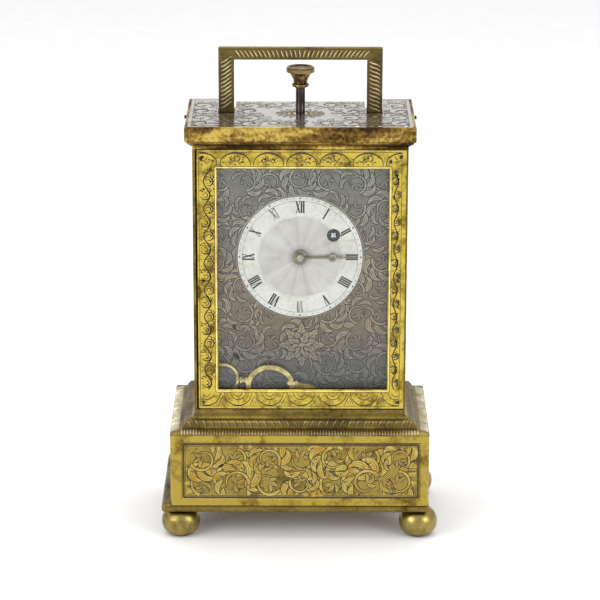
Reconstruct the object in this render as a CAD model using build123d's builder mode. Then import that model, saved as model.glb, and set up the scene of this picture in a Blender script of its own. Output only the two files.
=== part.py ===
"""Carriage clock: gilt brass case, glazed doors, folding handle, repeat plunger and going movement.

Millimetres. +Z is up, the dial faces -Y, and the origin is the middle of the footprint on the table.
"""

from build123d import *
from math import atan2, cos, degrees, hypot, pi, radians, sin
import os

os.makedirs("parts", exist_ok=True)

# ---- driving dimensions ------------------------------------------------------------------------------
# heights of the case, from the table up
foot_height = 9.8
bottom_plate_top = 12.6
plinth_top = 37.8
floor_top = 45.0
case_top = 136.0
cornice_top = 143.9
handle_top = 166.2

# half sizes of the case
plinth_half_width, plinth_half_depth = 44.0, 26.0
body_half_width, body_half_depth = 35.8, 19.25
cornice_half_width, cornice_half_depth = 38.25, 21.8

# feet and bottom plate
foot_radius = 6.6
foot_stud_radius = 1.45
foot_across, foot_along = 40.8, 19.5
bottom_plate_left, bottom_plate_right = -47.2, 44.4
bottom_plate_half_depth = 25.7

# plinth
plinth_wall = 3.0
panel_left, panel_right = -40.4, 41.2
panel_bottom, panel_top = 14.5, 35.4
panel_recess = 0.5

# side panels and doors
side_thickness = 2.4
door_thickness = 2.35
door_left, door_right = -34.7, 35.2
door_bottom, door_top = 45.4, 135.7
window_left, window_right = -27.6, 29.5
window_bottom, window_top = 52.1, 129.2
rebate = 0.9
door_lip = 0.6
window_chamfer = 0.3
glass_thickness = 1.0
glass_bevel = 1.6
door_pin_radius = 0.55
running_gap = 0.05

# handle
handle_half_width = 27.5
handle_leg = 5.2
handle_bar = 4.2
handle_thickness = 1.6
pivot_y, pivot_z = 0.95, 142.2
pivot_pin_radius = 0.6
knuckle_radius = 1.15
slot_clearance = 0.3

# repeat plunger
stem_radius = 1.55
stem_y = -0.8
knob_bottom, knob_height = 153.1, 159.9

# dial and hands
dial_centre = (0.0, 97.8)
dial_radius = 21.5
mask_front, mask_back = -14.6, -13.8
dial_front = -15.2
winding_hole_radius = 2.25
winding_bush_radius = 1.4

# movement: plates, and the places of the arbors on them
plate_half_width = 25.0
plate_top = 122.0
front_plate_front, front_plate_back = -8.5, -7.0
back_plate_front, back_plate_back = 6.0, 7.5
centre = dial_centre
barrel_centre = (11.2, 105.4)


def beside(start, distance, angle):
    """The point at a distance and an angle, in degrees, from another point of the dial's plane."""
    return (start[0] + distance * cos(radians(angle)), start[1] + distance * sin(radians(angle)))


def spacing(module, teeth, leaves):
    """How far apart a wheel and a pinion of one module stand."""
    return module * (teeth + leaves) / 2


great_teeth, centre_leaves = 64, 10
great_module = (
    2 * hypot(barrel_centre[0] - centre[0], barrel_centre[1] - centre[1]) / (great_teeth + centre_leaves)
)
centre_teeth, third_leaves, centre_module = 60, 8, 0.26
third_teeth, fourth_leaves, third_module = 60, 8, 0.24
fourth_teeth, escape_leaves, fourth_module = 64, 8, 0.22
third = beside(centre, spacing(centre_module, centre_teeth, third_leaves), 225)
fourth = beside(third, spacing(third_module, third_teeth, fourth_leaves), 200)
escape = beside(fourth, spacing(fourth_module, fourth_teeth, escape_leaves), 100)
escape_radius = 4.2
balance = beside(escape, escape_radius + 1.0, 80)

cannon_leaves, minute_teeth, cannon_module = 12, 36, 0.3
minute_leaves, hour_teeth = 10, 40
motion_spacing = spacing(cannon_module, minute_teeth, cannon_leaves)
hour_module = 2 * motion_spacing / (minute_leaves + hour_teeth)
minute_stud = beside(centre, motion_spacing, -90)

pillar_places = [(-21, 49.5), (21, 49.5), (-21, 117.5), (21, 117.5)]
lever_pivot = (16.0, 124.5)
gong_centre = (0.0, 70.0)
gong_radius = 15.0
hammer_pivot = (19.5, 58.0)
click_pivot = beside(barrel_centre, 7.2, 62)


# ---- helpers: each adds to, or cuts from, the part that is being built -------------------------------
def facing(y_back):
    """Plane with its back at y_back, whose sketches grow towards the front when they are extruded."""
    return Plane.XZ.offset(-y_back)


def block(x, y, z, mode=Mode.ADD):
    """Box between two limits on each axis."""
    with BuildSketch(Plane.XY.offset(z[0])) as profile:
        with Locations(((x[0] + x[1]) / 2, (y[0] + y[1]) / 2)):
            Rectangle(x[1] - x[0], y[1] - y[0])
    extrude(profile.sketch, amount=z[1] - z[0], mode=mode)


def column(place, radius, z, mode=Mode.ADD):
    """Upright round bar."""
    with BuildSketch(Plane.XY.offset(z[0])) as profile:
        with Locations(place):
            Circle(radius)
    extrude(profile.sketch, amount=z[1] - z[0], mode=mode)


def disc(place, radius, y, mode=Mode.ADD):
    """Round bar along Y at a place on the dial's plane."""
    with BuildSketch(facing(y[1])) as profile:
        with Locations(place):
            Circle(radius)
    extrude(profile.sketch, amount=y[1] - y[0], mode=mode)


def slab(x, z, y, mode=Mode.ADD):
    """Upright plate that faces the front."""
    with BuildSketch(facing(y[1])) as profile:
        with Locations(((x[0] + x[1]) / 2, (z[0] + z[1]) / 2)):
            Rectangle(x[1] - x[0], z[1] - z[0])
    extrude(profile.sketch, amount=y[1] - y[0], mode=mode)


def square_bar(place, side, y, mode=Mode.ADD):
    """Square bar along Y."""
    slab((place[0] - side / 2, place[0] + side / 2), (place[1] - side / 2, place[1] + side / 2), y, mode)


def outline(points, y, mode=Mode.ADD):
    """Plate with straight edges, drawn on the dial's plane."""
    with BuildSketch(facing(y[1])) as profile:
        with BuildLine():
            Polyline(*points, close=True)
        make_face()
    extrude(profile.sketch, amount=y[1] - y[0], mode=mode)


def bar(start, end, width, y, mode=Mode.ADD):
    """Straight flat bar with round ends between two places on the dial's plane."""
    length = hypot(end[0] - start[0], end[1] - start[1])
    middle = ((start[0] + end[0]) / 2, (start[1] + end[1]) / 2)
    with BuildSketch(facing(y[1])) as profile:
        angle = degrees(atan2(end[1] - start[1], end[0] - start[0]))
        with Locations(Location((middle[0], middle[1]), angle)):
            SlotCenterToCenter(length, width)
    extrude(profile.sketch, amount=y[1] - y[0], mode=mode)


def mitred(across, along, edge):
    """Solid whose four sides share one edge profile, mitred at the corners.

    across and along each give how far from the middle the profile starts outside and ends inside.
    """
    for plane, halves, length, mode in (
        (Plane.XZ, across, along[0], Mode.ADD),
        (Plane.YZ, along, across[0], Mode.INTERSECT),
    ):
        with BuildSketch(plane) as profile:
            with BuildLine():
                edge(*halves)
                mirror(about=Plane.YZ)
            make_face()
        extrude(profile.sketch, amount=length + 1, both=True, mode=mode)


# share of the tooth pitch that half a tooth takes at its root, at the pitch circle and at its tip
wheel_tooth = (0.27, 0.20, 0.10)
pinion_leaf = (0.16, 0.16, 0.08)


def gear(place, teeth, module, phase, y, tooth, addendum=0.85, dedendum=1.2):
    """Toothed disc. phase is the angle, in degrees, of one tooth's middle."""
    pitch = 360 / teeth
    pitch_radius = module * teeth / 2
    root, tip = pitch_radius - dedendum * module, pitch_radius + addendum * module
    sides = (
        (root, -tooth[0]),
        (pitch_radius, -tooth[1]),
        (tip, -tooth[2]),
        (tip, tooth[2]),
        (pitch_radius, tooth[1]),
        (root, tooth[0]),
    )
    points = [
        beside(place, radius, phase + (index + share) * pitch)
        for index in range(teeth)
        for radius, share in sides
    ]
    outline(points, y)


def mesh_phase(driver, driver_teeth, driver_phase, driven, driven_teeth):
    """Phase of a gear whose teeth stand between those of its driver."""
    line = degrees(atan2(driven[1] - driver[1], driven[0] - driver[0]))
    steps = (line - driver_phase) * driver_teeth / 360
    return line + 180 + (steps - 0.5) * 360 / driven_teeth


def spokes(place, inner, outer, count, width, y):
    """Windows that leave spokes in a wheel, each a ring sector."""
    with BuildSketch(facing(y[1])) as profile:
        with Locations(place):
            Circle(outer)
            Circle(inner, mode=Mode.SUBTRACT)
            for index in range(count):
                Rectangle(
                    2 * outer,
                    width,
                    align=(Align.MIN, Align.CENTER),
                    rotation=360 / count * index,
                    mode=Mode.SUBTRACT,
                )
    extrude(profile.sketch, amount=y[1] - y[0], mode=Mode.SUBTRACT)


def spiral(place, inner, outer, turns, thickness, y, start=0.0, steps_per_turn=24):
    """Flat strip wound into a spiral that grows evenly from its inner to its outer radius."""
    steps = int(turns * steps_per_turn)
    growth = (outer - inner) / steps

    def side(offset):
        return [
            beside(place, inner + growth * step + offset, start + 360 / steps_per_turn * step)
            for step in range(steps + 1)
        ]

    outline(side(-thickness / 2) + side(thickness / 2)[::-1], y)


def save(builder, label):
    """Names a finished piece and writes its file."""
    builder.part.label = label
    export_step(builder.part, f"parts/{label}.step")


# ---- base --------------------------------------------------------------------------------------------
foot_places = {
    "foot_front_left": (-foot_across, -foot_along),
    "foot_front_right": (foot_across, -foot_along),
    "foot_rear_left": (-foot_across, foot_along),
    "foot_rear_right": (foot_across, foot_along),
}
foot_sole_radius = 3.3
foot_stud_top = 21.0
for label, (foot_x, foot_y) in foot_places.items():
    with BuildPart() as foot:
        with BuildSketch(Plane(origin=(foot_x, foot_y, 0), x_dir=(1, 0, 0), z_dir=(0, -1, 0))):
            with BuildLine():
                Line((0, 0), (foot_sole_radius, 0))
                ThreePointArc(
                    (foot_sole_radius, 0), (foot_radius, foot_height / 2), (foot_sole_radius, foot_height)
                )
                Polyline(
                    (foot_sole_radius, foot_height),
                    (foot_stud_radius, foot_height),
                    (foot_stud_radius, foot_stud_top),
                    (0, foot_stud_top),
                    (0, 0),
                )
            make_face()
        revolve(axis=Axis((foot_x, foot_y, 0), (0, 0, 1)))
    save(foot, label)

with BuildPart() as bottom_plate:
    block(
        (bottom_plate_left, bottom_plate_right),
        (-bottom_plate_half_depth, bottom_plate_half_depth),
        (foot_height, bottom_plate_top),
    )
    fillet(bottom_plate.edges().filter_by(Axis.Z), 1.0)
    fillet(bottom_plate.faces().sort_by(Axis.Z)[-1].edges(), 1.1)
    fillet(bottom_plate.faces().sort_by(Axis.Z)[0].edges(), 1.1)
    for place in foot_places.values():
        column(place, foot_stud_radius + running_gap, (foot_height, bottom_plate_top), Mode.SUBTRACT)
save(bottom_plate, "bottom_plate")

boss_top = 23.0
with BuildPart() as plinth:
    block(
        (-plinth_half_width, plinth_half_width),
        (-plinth_half_depth, plinth_half_depth),
        (bottom_plate_top, plinth_top),
    )
    fillet(plinth.edges().filter_by(Axis.Z), 1.2)
    block(
        (plinth_wall - plinth_half_width, plinth_half_width - plinth_wall),
        (plinth_wall - plinth_half_depth, plinth_half_depth - plinth_wall),
        (bottom_plate_top, plinth_top),
        Mode.SUBTRACT,
    )
    for foot_x, foot_y in foot_places.values():
        across, along = (1 if foot_x > 0 else -1), (1 if foot_y > 0 else -1)
        block(
            sorted((across * (foot_across - 3.6), across * (plinth_half_width - 1))),
            sorted((along * (foot_along - 3.6), along * (plinth_half_depth - 1))),
            (bottom_plate_top, boss_top),
        )
        column((foot_x, foot_y), foot_stud_radius + running_gap, (bottom_plate_top, boss_top), Mode.SUBTRACT)
    panel_middle = ((panel_left + panel_right) / 2, (panel_bottom + panel_top) / 2)
    panel_size = (panel_right - panel_left, panel_top - panel_bottom)
    side_panel_size = (2 * plinth_half_depth - 7, panel_size[1])
    for plane, middle, size in (
        (Plane.XZ.offset(plinth_half_depth), panel_middle, panel_size),
        (Plane.XZ.offset(-plinth_half_depth), panel_middle, panel_size),
        (Plane.YZ.offset(plinth_half_width), (0, panel_middle[1]), side_panel_size),
        (Plane.YZ.offset(-plinth_half_width), (0, panel_middle[1]), side_panel_size),
    ):
        outward = 1 if plane.origin.dot(plane.z_dir) > 0 else -1
        with BuildSketch(plane):
            with Locations(middle):
                Rectangle(*size)
        extrude(amount=-outward * panel_recess, taper=45, mode=Mode.SUBTRACT)
save(plinth, "plinth")


def plinth_moulding_edge(outer, inner):
    """Fluted band, leaf torus and cove, from the outside in."""
    run = outer - inner
    band_rim = (outer, plinth_top + 0.3)
    band_end = (outer - 0.39 * run, plinth_top + 1.3)
    torus_foot = (outer - 0.50 * run, plinth_top + 1.5)
    torus_head = (outer - 0.845 * run, plinth_top + 4.1)
    cove_foot = (outer - 0.87 * run, plinth_top + 4.5)
    cove_head = (inner, plinth_top + 6.3)
    Line((0, plinth_top), (outer, plinth_top))
    Line((outer, plinth_top), band_rim)
    SagittaArc(band_rim, band_end, -0.15)
    Line(band_end, torus_foot)
    SagittaArc(torus_foot, torus_head, -0.7)
    Line(torus_head, cove_foot)
    SagittaArc(cove_foot, cove_head, 0.25)
    Line(cove_head, (inner, floor_top))
    Line((inner, floor_top), (0, floor_top))


door_axis_x = door_left + door_thickness / 2
front_door_axis_y = -body_half_depth + door_thickness / 2
rear_door_axis_y = -front_door_axis_y
door_pin_depth = 1.8
screw_radius, screw_head_radius, screw_head = 0.6, 1.2, 1.2
side_screw_x = body_half_width - side_thickness / 2
side_screw_places = [(across * side_screw_x, along * 12.0) for across in (-1, 1) for along in (-1, 1)]
floor_pocket_top = plinth_top + 3.2
seat_screw_places = [(-21.0, -0.5), (21.0, -0.5)]
seat_screw_radius = 1.0

with BuildPart() as plinth_moulding:
    mitred((plinth_half_width, body_half_width), (plinth_half_depth, body_half_depth), plinth_moulding_edge)
    block((-36.2, 36.2), (-18, 18), (plinth_top, floor_pocket_top), Mode.SUBTRACT)
    for axis_y in (front_door_axis_y, rear_door_axis_y):
        column(
            (door_axis_x, axis_y),
            door_pin_radius + running_gap,
            (floor_top - door_pin_depth - 0.2, floor_top),
            Mode.SUBTRACT,
        )
    for place in side_screw_places:
        column(place, screw_radius, (floor_pocket_top, floor_top), Mode.SUBTRACT)
    for place in seat_screw_places:
        column(place, seat_screw_radius, (floor_pocket_top, floor_top), Mode.SUBTRACT)
save(plinth_moulding, "plinth_moulding")


# ---- case body ---------------------------------------------------------------------------------------
def side_panel(side):
    """Engraved side wall. Its edges lap a door at the front and at the back. side is -1 or 1."""
    outer, inner = side * body_half_width, side * (body_half_width - side_thickness)
    door_edge = door_left - 0.2 if side < 0 else door_right + 0.2
    lap = body_half_depth - door_thickness - 0.3
    block(sorted((outer, inner)), (-lap, lap), (floor_top, case_top))
    block(sorted((outer, door_edge)), (-body_half_depth + 0.2, body_half_depth - 0.2), (floor_top, case_top))
    for place in side_screw_places:
        if place[0] * side > 0:
            column(place, screw_radius, (floor_top, floor_top + 5), Mode.SUBTRACT)
            column(place, screw_radius, (case_top - 5, case_top), Mode.SUBTRACT)


with BuildPart() as left_side_panel:
    side_panel(-1)
save(left_side_panel, "left_side_panel")

with BuildPart() as right_side_panel:
    side_panel(1)
save(right_side_panel, "right_side_panel")


def cornice_edge(outer, inner):
    """Sloping underside, a quirk, then an upright band with rounded edges."""
    band_bottom = case_top + 3.3
    Line((0, case_top), (inner, case_top))
    Line((inner, case_top), (inner, case_top + 0.9))
    Line((inner, case_top + 0.9), (outer - 0.8, case_top + 2.2))
    Line((outer - 0.8, case_top + 2.2), (outer - 0.8, case_top + 2.6))
    SagittaArc((outer - 0.8, case_top + 2.6), (outer, band_bottom), -0.15)
    Line((outer, band_bottom), (outer, cornice_top - 0.4))
    SagittaArc((outer, cornice_top - 0.4), (outer - 0.4, cornice_top), -0.1)
    Line((outer - 0.4, cornice_top), (0, cornice_top))


top_plate_thickness = 1.5
top_plate_bottom = cornice_top - top_plate_thickness
top_plate_margin = 1.05
slot_floor = pivot_z - knuckle_radius - slot_clearance
notch_depth = 4.2
leg_inner, leg_outer = handle_half_width - handle_leg, handle_half_width


def handle_slots():
    """Cuts the two slots that the handle's legs stand in, and the notch that its bar folds to."""
    for across in (-1, 1):
        block(
            sorted((across * (leg_inner - slot_clearance), across * (leg_outer + slot_clearance))),
            (pivot_y - knuckle_radius - slot_clearance, cornice_half_depth + 1),
            (slot_floor, cornice_top + 1),
            Mode.SUBTRACT,
        )
    block(
        (-leg_inner, leg_inner),
        (cornice_half_depth - notch_depth, cornice_half_depth + 1),
        (slot_floor, cornice_top + 1),
        Mode.SUBTRACT,
    )


with BuildPart() as cornice:
    mitred((cornice_half_width, body_half_width), (cornice_half_depth, body_half_depth), cornice_edge)
    block((-19.5, 19.5), (-15, 15), (case_top, cornice_top), Mode.SUBTRACT)
    block(
        (top_plate_margin - cornice_half_width, cornice_half_width - top_plate_margin),
        (top_plate_margin - cornice_half_depth, cornice_half_depth - top_plate_margin),
        (top_plate_bottom, cornice_top),
        Mode.SUBTRACT,
    )
    handle_slots()
    with BuildSketch(Plane.YZ.offset(-cornice_half_width)):
        with Locations((pivot_y, pivot_z)):
            Circle(pivot_pin_radius)
    extrude(amount=2 * cornice_half_width, mode=Mode.SUBTRACT)
    for axis_y in (front_door_axis_y, rear_door_axis_y):
        column(
            (door_axis_x, axis_y),
            door_pin_radius + running_gap,
            (case_top, case_top + door_pin_depth + 0.2),
            Mode.SUBTRACT,
        )
    for place in side_screw_places:
        column(place, screw_radius, (case_top, top_plate_bottom), Mode.SUBTRACT)
        column(place, screw_head_radius, (top_plate_bottom - screw_head, top_plate_bottom), Mode.SUBTRACT)
save(cornice, "cornice")

with BuildPart() as top_plate:
    block(
        (top_plate_margin - cornice_half_width, cornice_half_width - top_plate_margin),
        (top_plate_margin - cornice_half_depth, cornice_half_depth - top_plate_margin),
        (top_plate_bottom, cornice_top),
    )
    handle_slots()
    with BuildSketch(Plane.YZ.offset(-cornice_half_width)):
        with Locations((pivot_y, pivot_z)):
            Circle(pivot_pin_radius)
    extrude(amount=2 * cornice_half_width, mode=Mode.SUBTRACT)
    column((0, stem_y), stem_radius + running_gap, (top_plate_bottom, cornice_top), Mode.SUBTRACT)
save(top_plate, "top_plate")

with BuildPart() as case_screws:
    for place in side_screw_places:
        column(place, screw_radius, (floor_pocket_top, floor_top + 4.5))
        column(place, screw_head_radius, (floor_pocket_top - screw_head, floor_pocket_top))
        column(place, screw_radius, (case_top - 4.5, top_plate_bottom - screw_head))
        column(place, screw_head_radius, (top_plate_bottom - screw_head, top_plate_bottom))
save(case_screws, "case_screws")

# ---- handle ------------------------------------------------------------------------------------------
handle_front, handle_back = pivot_y - handle_thickness / 2, pivot_y + handle_thickness / 2
with BuildPart() as handle:
    slab((-handle_half_width, handle_half_width), (pivot_z, handle_top), (handle_front, handle_back))
    slab(
        (-leg_inner, leg_inner),
        (pivot_z, handle_top - handle_bar),
        (handle_front, handle_back),
        Mode.SUBTRACT,
    )
    fillet(handle.edges().filter_by(Axis.Y).group_by(Axis.Z)[-1], 0.35)
    chamfer(handle.faces().sort_by(Axis.Y)[0].edges(), 0.2)
    for across in (-1, 1):
        with BuildSketch(Plane.YZ.offset(across * leg_inner)):
            with Locations((pivot_y, pivot_z)):
                Circle(knuckle_radius)
        extrude(amount=across * handle_leg)
    with BuildSketch(Plane.YZ.offset(-handle_half_width)):
        with Locations((pivot_y, pivot_z)):
            Circle(pivot_pin_radius + running_gap)
    extrude(amount=2 * handle_half_width, mode=Mode.SUBTRACT)
save(handle, "handle")

pin_reach = 39.1
pin_inner_end = leg_inner - 1.5
with BuildPart() as handle_pivot_pins:
    for across in (-1, 1):
        with BuildSketch(Plane.YZ.offset(across * pin_inner_end)):
            with Locations((pivot_y, pivot_z)):
                Circle(pivot_pin_radius)
        extrude(amount=across * (pin_reach - pin_inner_end))
save(handle_pivot_pins, "handle_pivot_pins")


# ---- doors -------------------------------------------------------------------------------------------
def door_frame(facing_side, left, right):
    """Glazed door's frame. facing_side is -1 for the front door and 1 for the rear one."""
    outside, inside = facing_side * body_half_depth, facing_side * (body_half_depth - door_thickness)
    lip = facing_side * (body_half_depth - door_lip)
    axis_y = facing_side * (body_half_depth - door_thickness / 2)
    slab((door_axis_x, right), (door_bottom, door_top), sorted((outside, inside)))
    column((door_axis_x, axis_y), door_thickness / 2, (door_bottom, door_top))
    slab((left, window_right), (window_bottom, window_top), sorted((outside, inside)), Mode.SUBTRACT)
    slab(
        (left - rebate, window_right + rebate),
        (window_bottom - rebate, window_top + rebate),
        sorted((lip, inside)),
        Mode.SUBTRACT,
    )
    for end in (door_bottom, door_top - 3):
        column((door_axis_x, axis_y), door_pin_radius, (end, end + 3), Mode.SUBTRACT)


def window_edges(face):
    """The four edges round the window of a door frame's outer face."""
    across = face.edges().filter_by_position(Axis.X, -window_right - 0.1, window_right + 0.1)
    return across.filter_by_position(Axis.Z, window_bottom - 0.1, window_top + 0.1)


def door_glass(facing_side):
    """Pane with bevelled edges on its outer face, held in the frame's rebate."""
    front = facing_side * (body_half_depth - door_lip)
    back = front - facing_side * glass_thickness
    slab(
        (window_left - rebate + 0.1, window_right + rebate - 0.1),
        (window_bottom - rebate + 0.1, window_top + rebate - 0.1),
        sorted((front, back)),
    )


def glass_retainer(facing_side):
    """Thin frame that holds the pane from inside."""
    front = facing_side * (body_half_depth - door_lip - glass_thickness)
    back = facing_side * (body_half_depth - door_thickness)
    slab(
        (window_left - rebate, window_right + rebate),
        (window_bottom - rebate, window_top + rebate),
        sorted((front, back)),
    )
    slab((window_left, window_right), (window_bottom, window_top), sorted((front, back)), Mode.SUBTRACT)


def door_pins(axis_y):
    """The two pivots that a door hangs on."""
    for low, high in (
        (floor_top - door_pin_depth, door_bottom + 3),
        (door_top - 3, case_top + door_pin_depth),
    ):
        column((door_axis_x, axis_y), door_pin_radius, (low, high))


with BuildPart() as front_door_frame:
    door_frame(-1, window_left, door_right)
    chamfer(window_edges(front_door_frame.faces().sort_by(Axis.Y)[0]), window_chamfer)
save(front_door_frame, "front_door_frame")

with BuildPart() as front_glass:
    door_glass(-1)
    chamfer(front_glass.faces().sort_by(Axis.Y)[0].edges(), 0.5, glass_bevel)
save(front_glass, "front_glass")

with BuildPart() as front_glass_retainer:
    glass_retainer(-1)
save(front_glass_retainer, "front_glass_retainer")

with BuildPart() as front_door_pins:
    door_pins(front_door_axis_y)
save(front_door_pins, "front_door_pins")

knob_place = (window_right + 3.0, 91.0)
with BuildPart() as rear_door_frame:
    door_frame(1, window_left, door_right)
    disc(knob_place, 0.8, (body_half_depth - door_thickness, body_half_depth), Mode.SUBTRACT)
save(rear_door_frame, "rear_door_frame")

with BuildPart() as rear_glass:
    door_glass(1)
    chamfer(rear_glass.faces().sort_by(Axis.Y)[-1].edges(), 0.5, glass_bevel)
save(rear_glass, "rear_glass")

with BuildPart() as rear_glass_retainer:
    glass_retainer(1)
save(rear_glass_retainer, "rear_glass_retainer")

with BuildPart() as rear_door_pins:
    door_pins(rear_door_axis_y)
save(rear_door_pins, "rear_door_pins")

with BuildPart() as rear_door_knob:
    disc(knob_place, 0.8, (body_half_depth - door_thickness, body_half_depth))
    disc(knob_place, 1.2, (body_half_depth, body_half_depth + 1.4))
    disc(knob_place, 2.4, (body_half_depth + 1.4, body_half_depth + 3.4))
    fillet(rear_door_knob.faces().sort_by(Axis.Y)[-1].edges(), 0.8)
save(rear_door_knob, "rear_door_knob")

# ---- repeat plunger ----------------------------------------------------------------------------------
stem_flange = (top_plate_bottom - 1.5, top_plate_bottom - 0.2)
sleeve_bottom = 128.8
sleeve_floor = sleeve_bottom + 1.2
stem_bottom = lever_pivot[1] + 0.8 + 0.15
knob_seat = knob_bottom + 3.4
with BuildPart() as repeat_stem:
    column((0, stem_y), stem_radius, (stem_bottom + stem_radius, knob_seat))
    column((0, stem_y), 2.6, stem_flange)
    with Locations((0, stem_y, stem_bottom + stem_radius)):
        Sphere(stem_radius)
save(repeat_stem, "repeat_stem")

collar_radius, waist_radius, rim_radius, dish_radius = 2.85, 2.2, 4.75, 3.9
with BuildPart() as repeat_knob:
    with BuildSketch(Plane(origin=(0, stem_y, 0), x_dir=(1, 0, 0), z_dir=(0, -1, 0))):
        with BuildLine():
            Line((stem_radius, knob_bottom), (waist_radius, knob_bottom))
            ThreePointArc(
                (waist_radius, knob_bottom),
                (collar_radius, knob_bottom + 0.65),
                (waist_radius, knob_bottom + 1.3),
            )
            ThreePointArc(
                (waist_radius, knob_bottom + 1.3), (2.65, knob_bottom + 2.9), (3.9, knob_height - 2.1)
            )
            Polyline(
                (3.9, knob_height - 2.1),
                (rim_radius, knob_height - 1.6),
                (rim_radius, knob_height - 0.5),
                (rim_radius - 0.35, knob_height),
                (dish_radius, knob_height),
                (dish_radius - 0.3, knob_height - 0.4),
                (0, knob_height - 0.4),
                (0, knob_seat),
                (stem_radius, knob_seat),
                (stem_radius, knob_bottom),
            )
        make_face()
    revolve(axis=Axis((0, stem_y, 0), (0, 0, 1)))
save(repeat_knob, "repeat_knob")

with BuildPart() as repeat_sleeve:
    column((0, stem_y), 3.8, (sleeve_bottom, top_plate_bottom))
    column((0, stem_y), 3.0, (sleeve_floor, top_plate_bottom), Mode.SUBTRACT)
    column((0, stem_y), stem_radius + running_gap, (sleeve_bottom, sleeve_floor), Mode.SUBTRACT)
save(repeat_sleeve, "repeat_sleeve")

spring_wire = 0.25
spring_coil_radius = 2.2
spring_low, spring_high = sleeve_floor + 0.35, stem_flange[0] - 0.35
with BuildPart() as repeat_spring:
    with BuildLine(Plane(origin=(0, stem_y, spring_low))):
        spring_length = spring_high - spring_low
        spring_path = Helix(pitch=spring_length / 6, height=spring_length, radius=spring_coil_radius)
    with BuildSketch(Plane(origin=spring_path @ 0, z_dir=spring_path % 0)):
        Circle(spring_wire)
    sweep(path=spring_path)
save(repeat_spring, "repeat_spring")

lever_y = (stem_y - 1.2, stem_y + 1.2)
with BuildPart() as repeat_lever:
    slab((-2.2, lever_pivot[0] + 5), (lever_pivot[1] - 0.8, lever_pivot[1] + 0.8), lever_y)
    disc(lever_pivot, 2.0, lever_y)
    disc(lever_pivot, 0.85, lever_y, Mode.SUBTRACT)
save(repeat_lever, "repeat_lever")

# ---- dial, mask and hands ----------------------------------------------------------------------------
mask_half_width = 32.6
mask_bottom, mask_top = 46.0, 134.5
with BuildPart() as mask_plate:
    slab((-mask_half_width, mask_half_width), (mask_bottom, mask_top), (mask_front, mask_back))
    disc(centre, 2.4, (mask_front, mask_back), Mode.SUBTRACT)
    disc(barrel_centre, winding_bush_radius, (mask_front, mask_back), Mode.SUBTRACT)
save(mask_plate, "mask_plate")

mask_post_places = [(-22.5, 56.0), (22.5, 56.0), (-22.5, 112.0), (22.5, 112.0)]
with BuildPart() as mask_posts:
    for place in mask_post_places:
        disc(place, 1.4, (mask_back, front_plate_front))
save(mask_posts, "mask_posts")

with BuildPart() as dial:
    disc(centre, dial_radius, (dial_front, mask_front))
    chamfer(dial.faces().sort_by(Axis.Y)[0].edges(), 0.2)
    disc(centre, 1.9, (dial_front, mask_front), Mode.SUBTRACT)
    disc(barrel_centre, winding_hole_radius, (dial_front, mask_front), Mode.SUBTRACT)
save(dial, "dial")


def breguet_hand(reach, y, hub_radius, hub_hole):
    """Hand that points to III: hub, thin blade, open ring two thirds of the way out, and fine tip."""
    ring = beside(centre, 10.8, 0.5)
    blade, tip = 0.6, 0.22
    root, end = beside(centre, hub_radius - 0.3, 0.5), beside(centre, reach, 0.5)
    disc(centre, hub_radius, y)
    outline(
        [
            (root[0], root[1] - blade / 2),
            (ring[0], ring[1] - blade / 2),
            (end[0], end[1] - tip / 2),
            (end[0], end[1] + tip / 2),
            (ring[0], ring[1] + blade / 2),
            (root[0], root[1] + blade / 2),
        ],
        y,
    )
    disc(ring, 1.35, y)
    disc(ring, 0.75, y, Mode.SUBTRACT)
    disc(centre, hub_hole, y, Mode.SUBTRACT)


cannon_bore, cannon_tube = 0.60, 1.00
hour_bore, hour_tube = cannon_tube + running_gap, 1.45
hour_hand_y, minute_hand_y = (-16.1, -15.75), (-16.75, -16.4)

with BuildPart() as hour_hand:
    breguet_hand(15.2, hour_hand_y, 2.5, hour_tube)
save(hour_hand, "hour_hand")

with BuildPart() as minute_hand:
    breguet_hand(19.3, minute_hand_y, 1.65, cannon_tube)
save(minute_hand, "minute_hand")

# ---- motion work behind the dial ---------------------------------------------------------------------
cannon_y, minute_wheel_y, hour_wheel_y = (-10.7, -9.3), (-10.4, -9.6), (-12.4, -11.6)
minute_pinion_y = (-12.8, -11.2)
cannon_phase = 0.0
minute_phase = mesh_phase(centre, cannon_leaves, cannon_phase, minute_stud, minute_teeth)
hour_phase = 0.0
minute_pinion_phase = mesh_phase(centre, hour_teeth, hour_phase, minute_stud, minute_leaves)

with BuildPart() as cannon_pinion:
    gear(centre, cannon_leaves, cannon_module, cannon_phase, cannon_y, pinion_leaf)
    disc(centre, cannon_tube, (-17.1, cannon_y[0]))
    disc(centre, cannon_bore, (-17.1, cannon_y[1]), Mode.SUBTRACT)
save(cannon_pinion, "cannon_pinion")

with BuildPart() as minute_wheel:
    gear(minute_stud, minute_teeth, cannon_module, minute_phase, minute_wheel_y, wheel_tooth)
    gear(minute_stud, minute_leaves, hour_module, minute_pinion_phase, minute_pinion_y, pinion_leaf)
    disc(minute_stud, 1.0, (minute_pinion_y[0], minute_wheel_y[1]))
    disc(minute_stud, 0.60 + running_gap, (minute_pinion_y[0], minute_wheel_y[1]), Mode.SUBTRACT)
save(minute_wheel, "minute_wheel")

with BuildPart() as hour_wheel:
    gear(centre, hour_teeth, hour_module, hour_phase, hour_wheel_y, wheel_tooth)
    disc(centre, hour_tube, (hour_hand_y[0], hour_wheel_y[0]))
    disc(centre, hour_bore, (hour_hand_y[0], hour_wheel_y[1]), Mode.SUBTRACT)
save(hour_wheel, "hour_wheel")

# ---- movement frame ----------------------------------------------------------------------------------
arbor_pivots = {
    centre: 0.60,
    barrel_centre: 1.20,
    third: 0.50,
    fourth: 0.50,
    escape: 0.50,
    balance: 0.50,
}
screw_hole = 1.0


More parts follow.
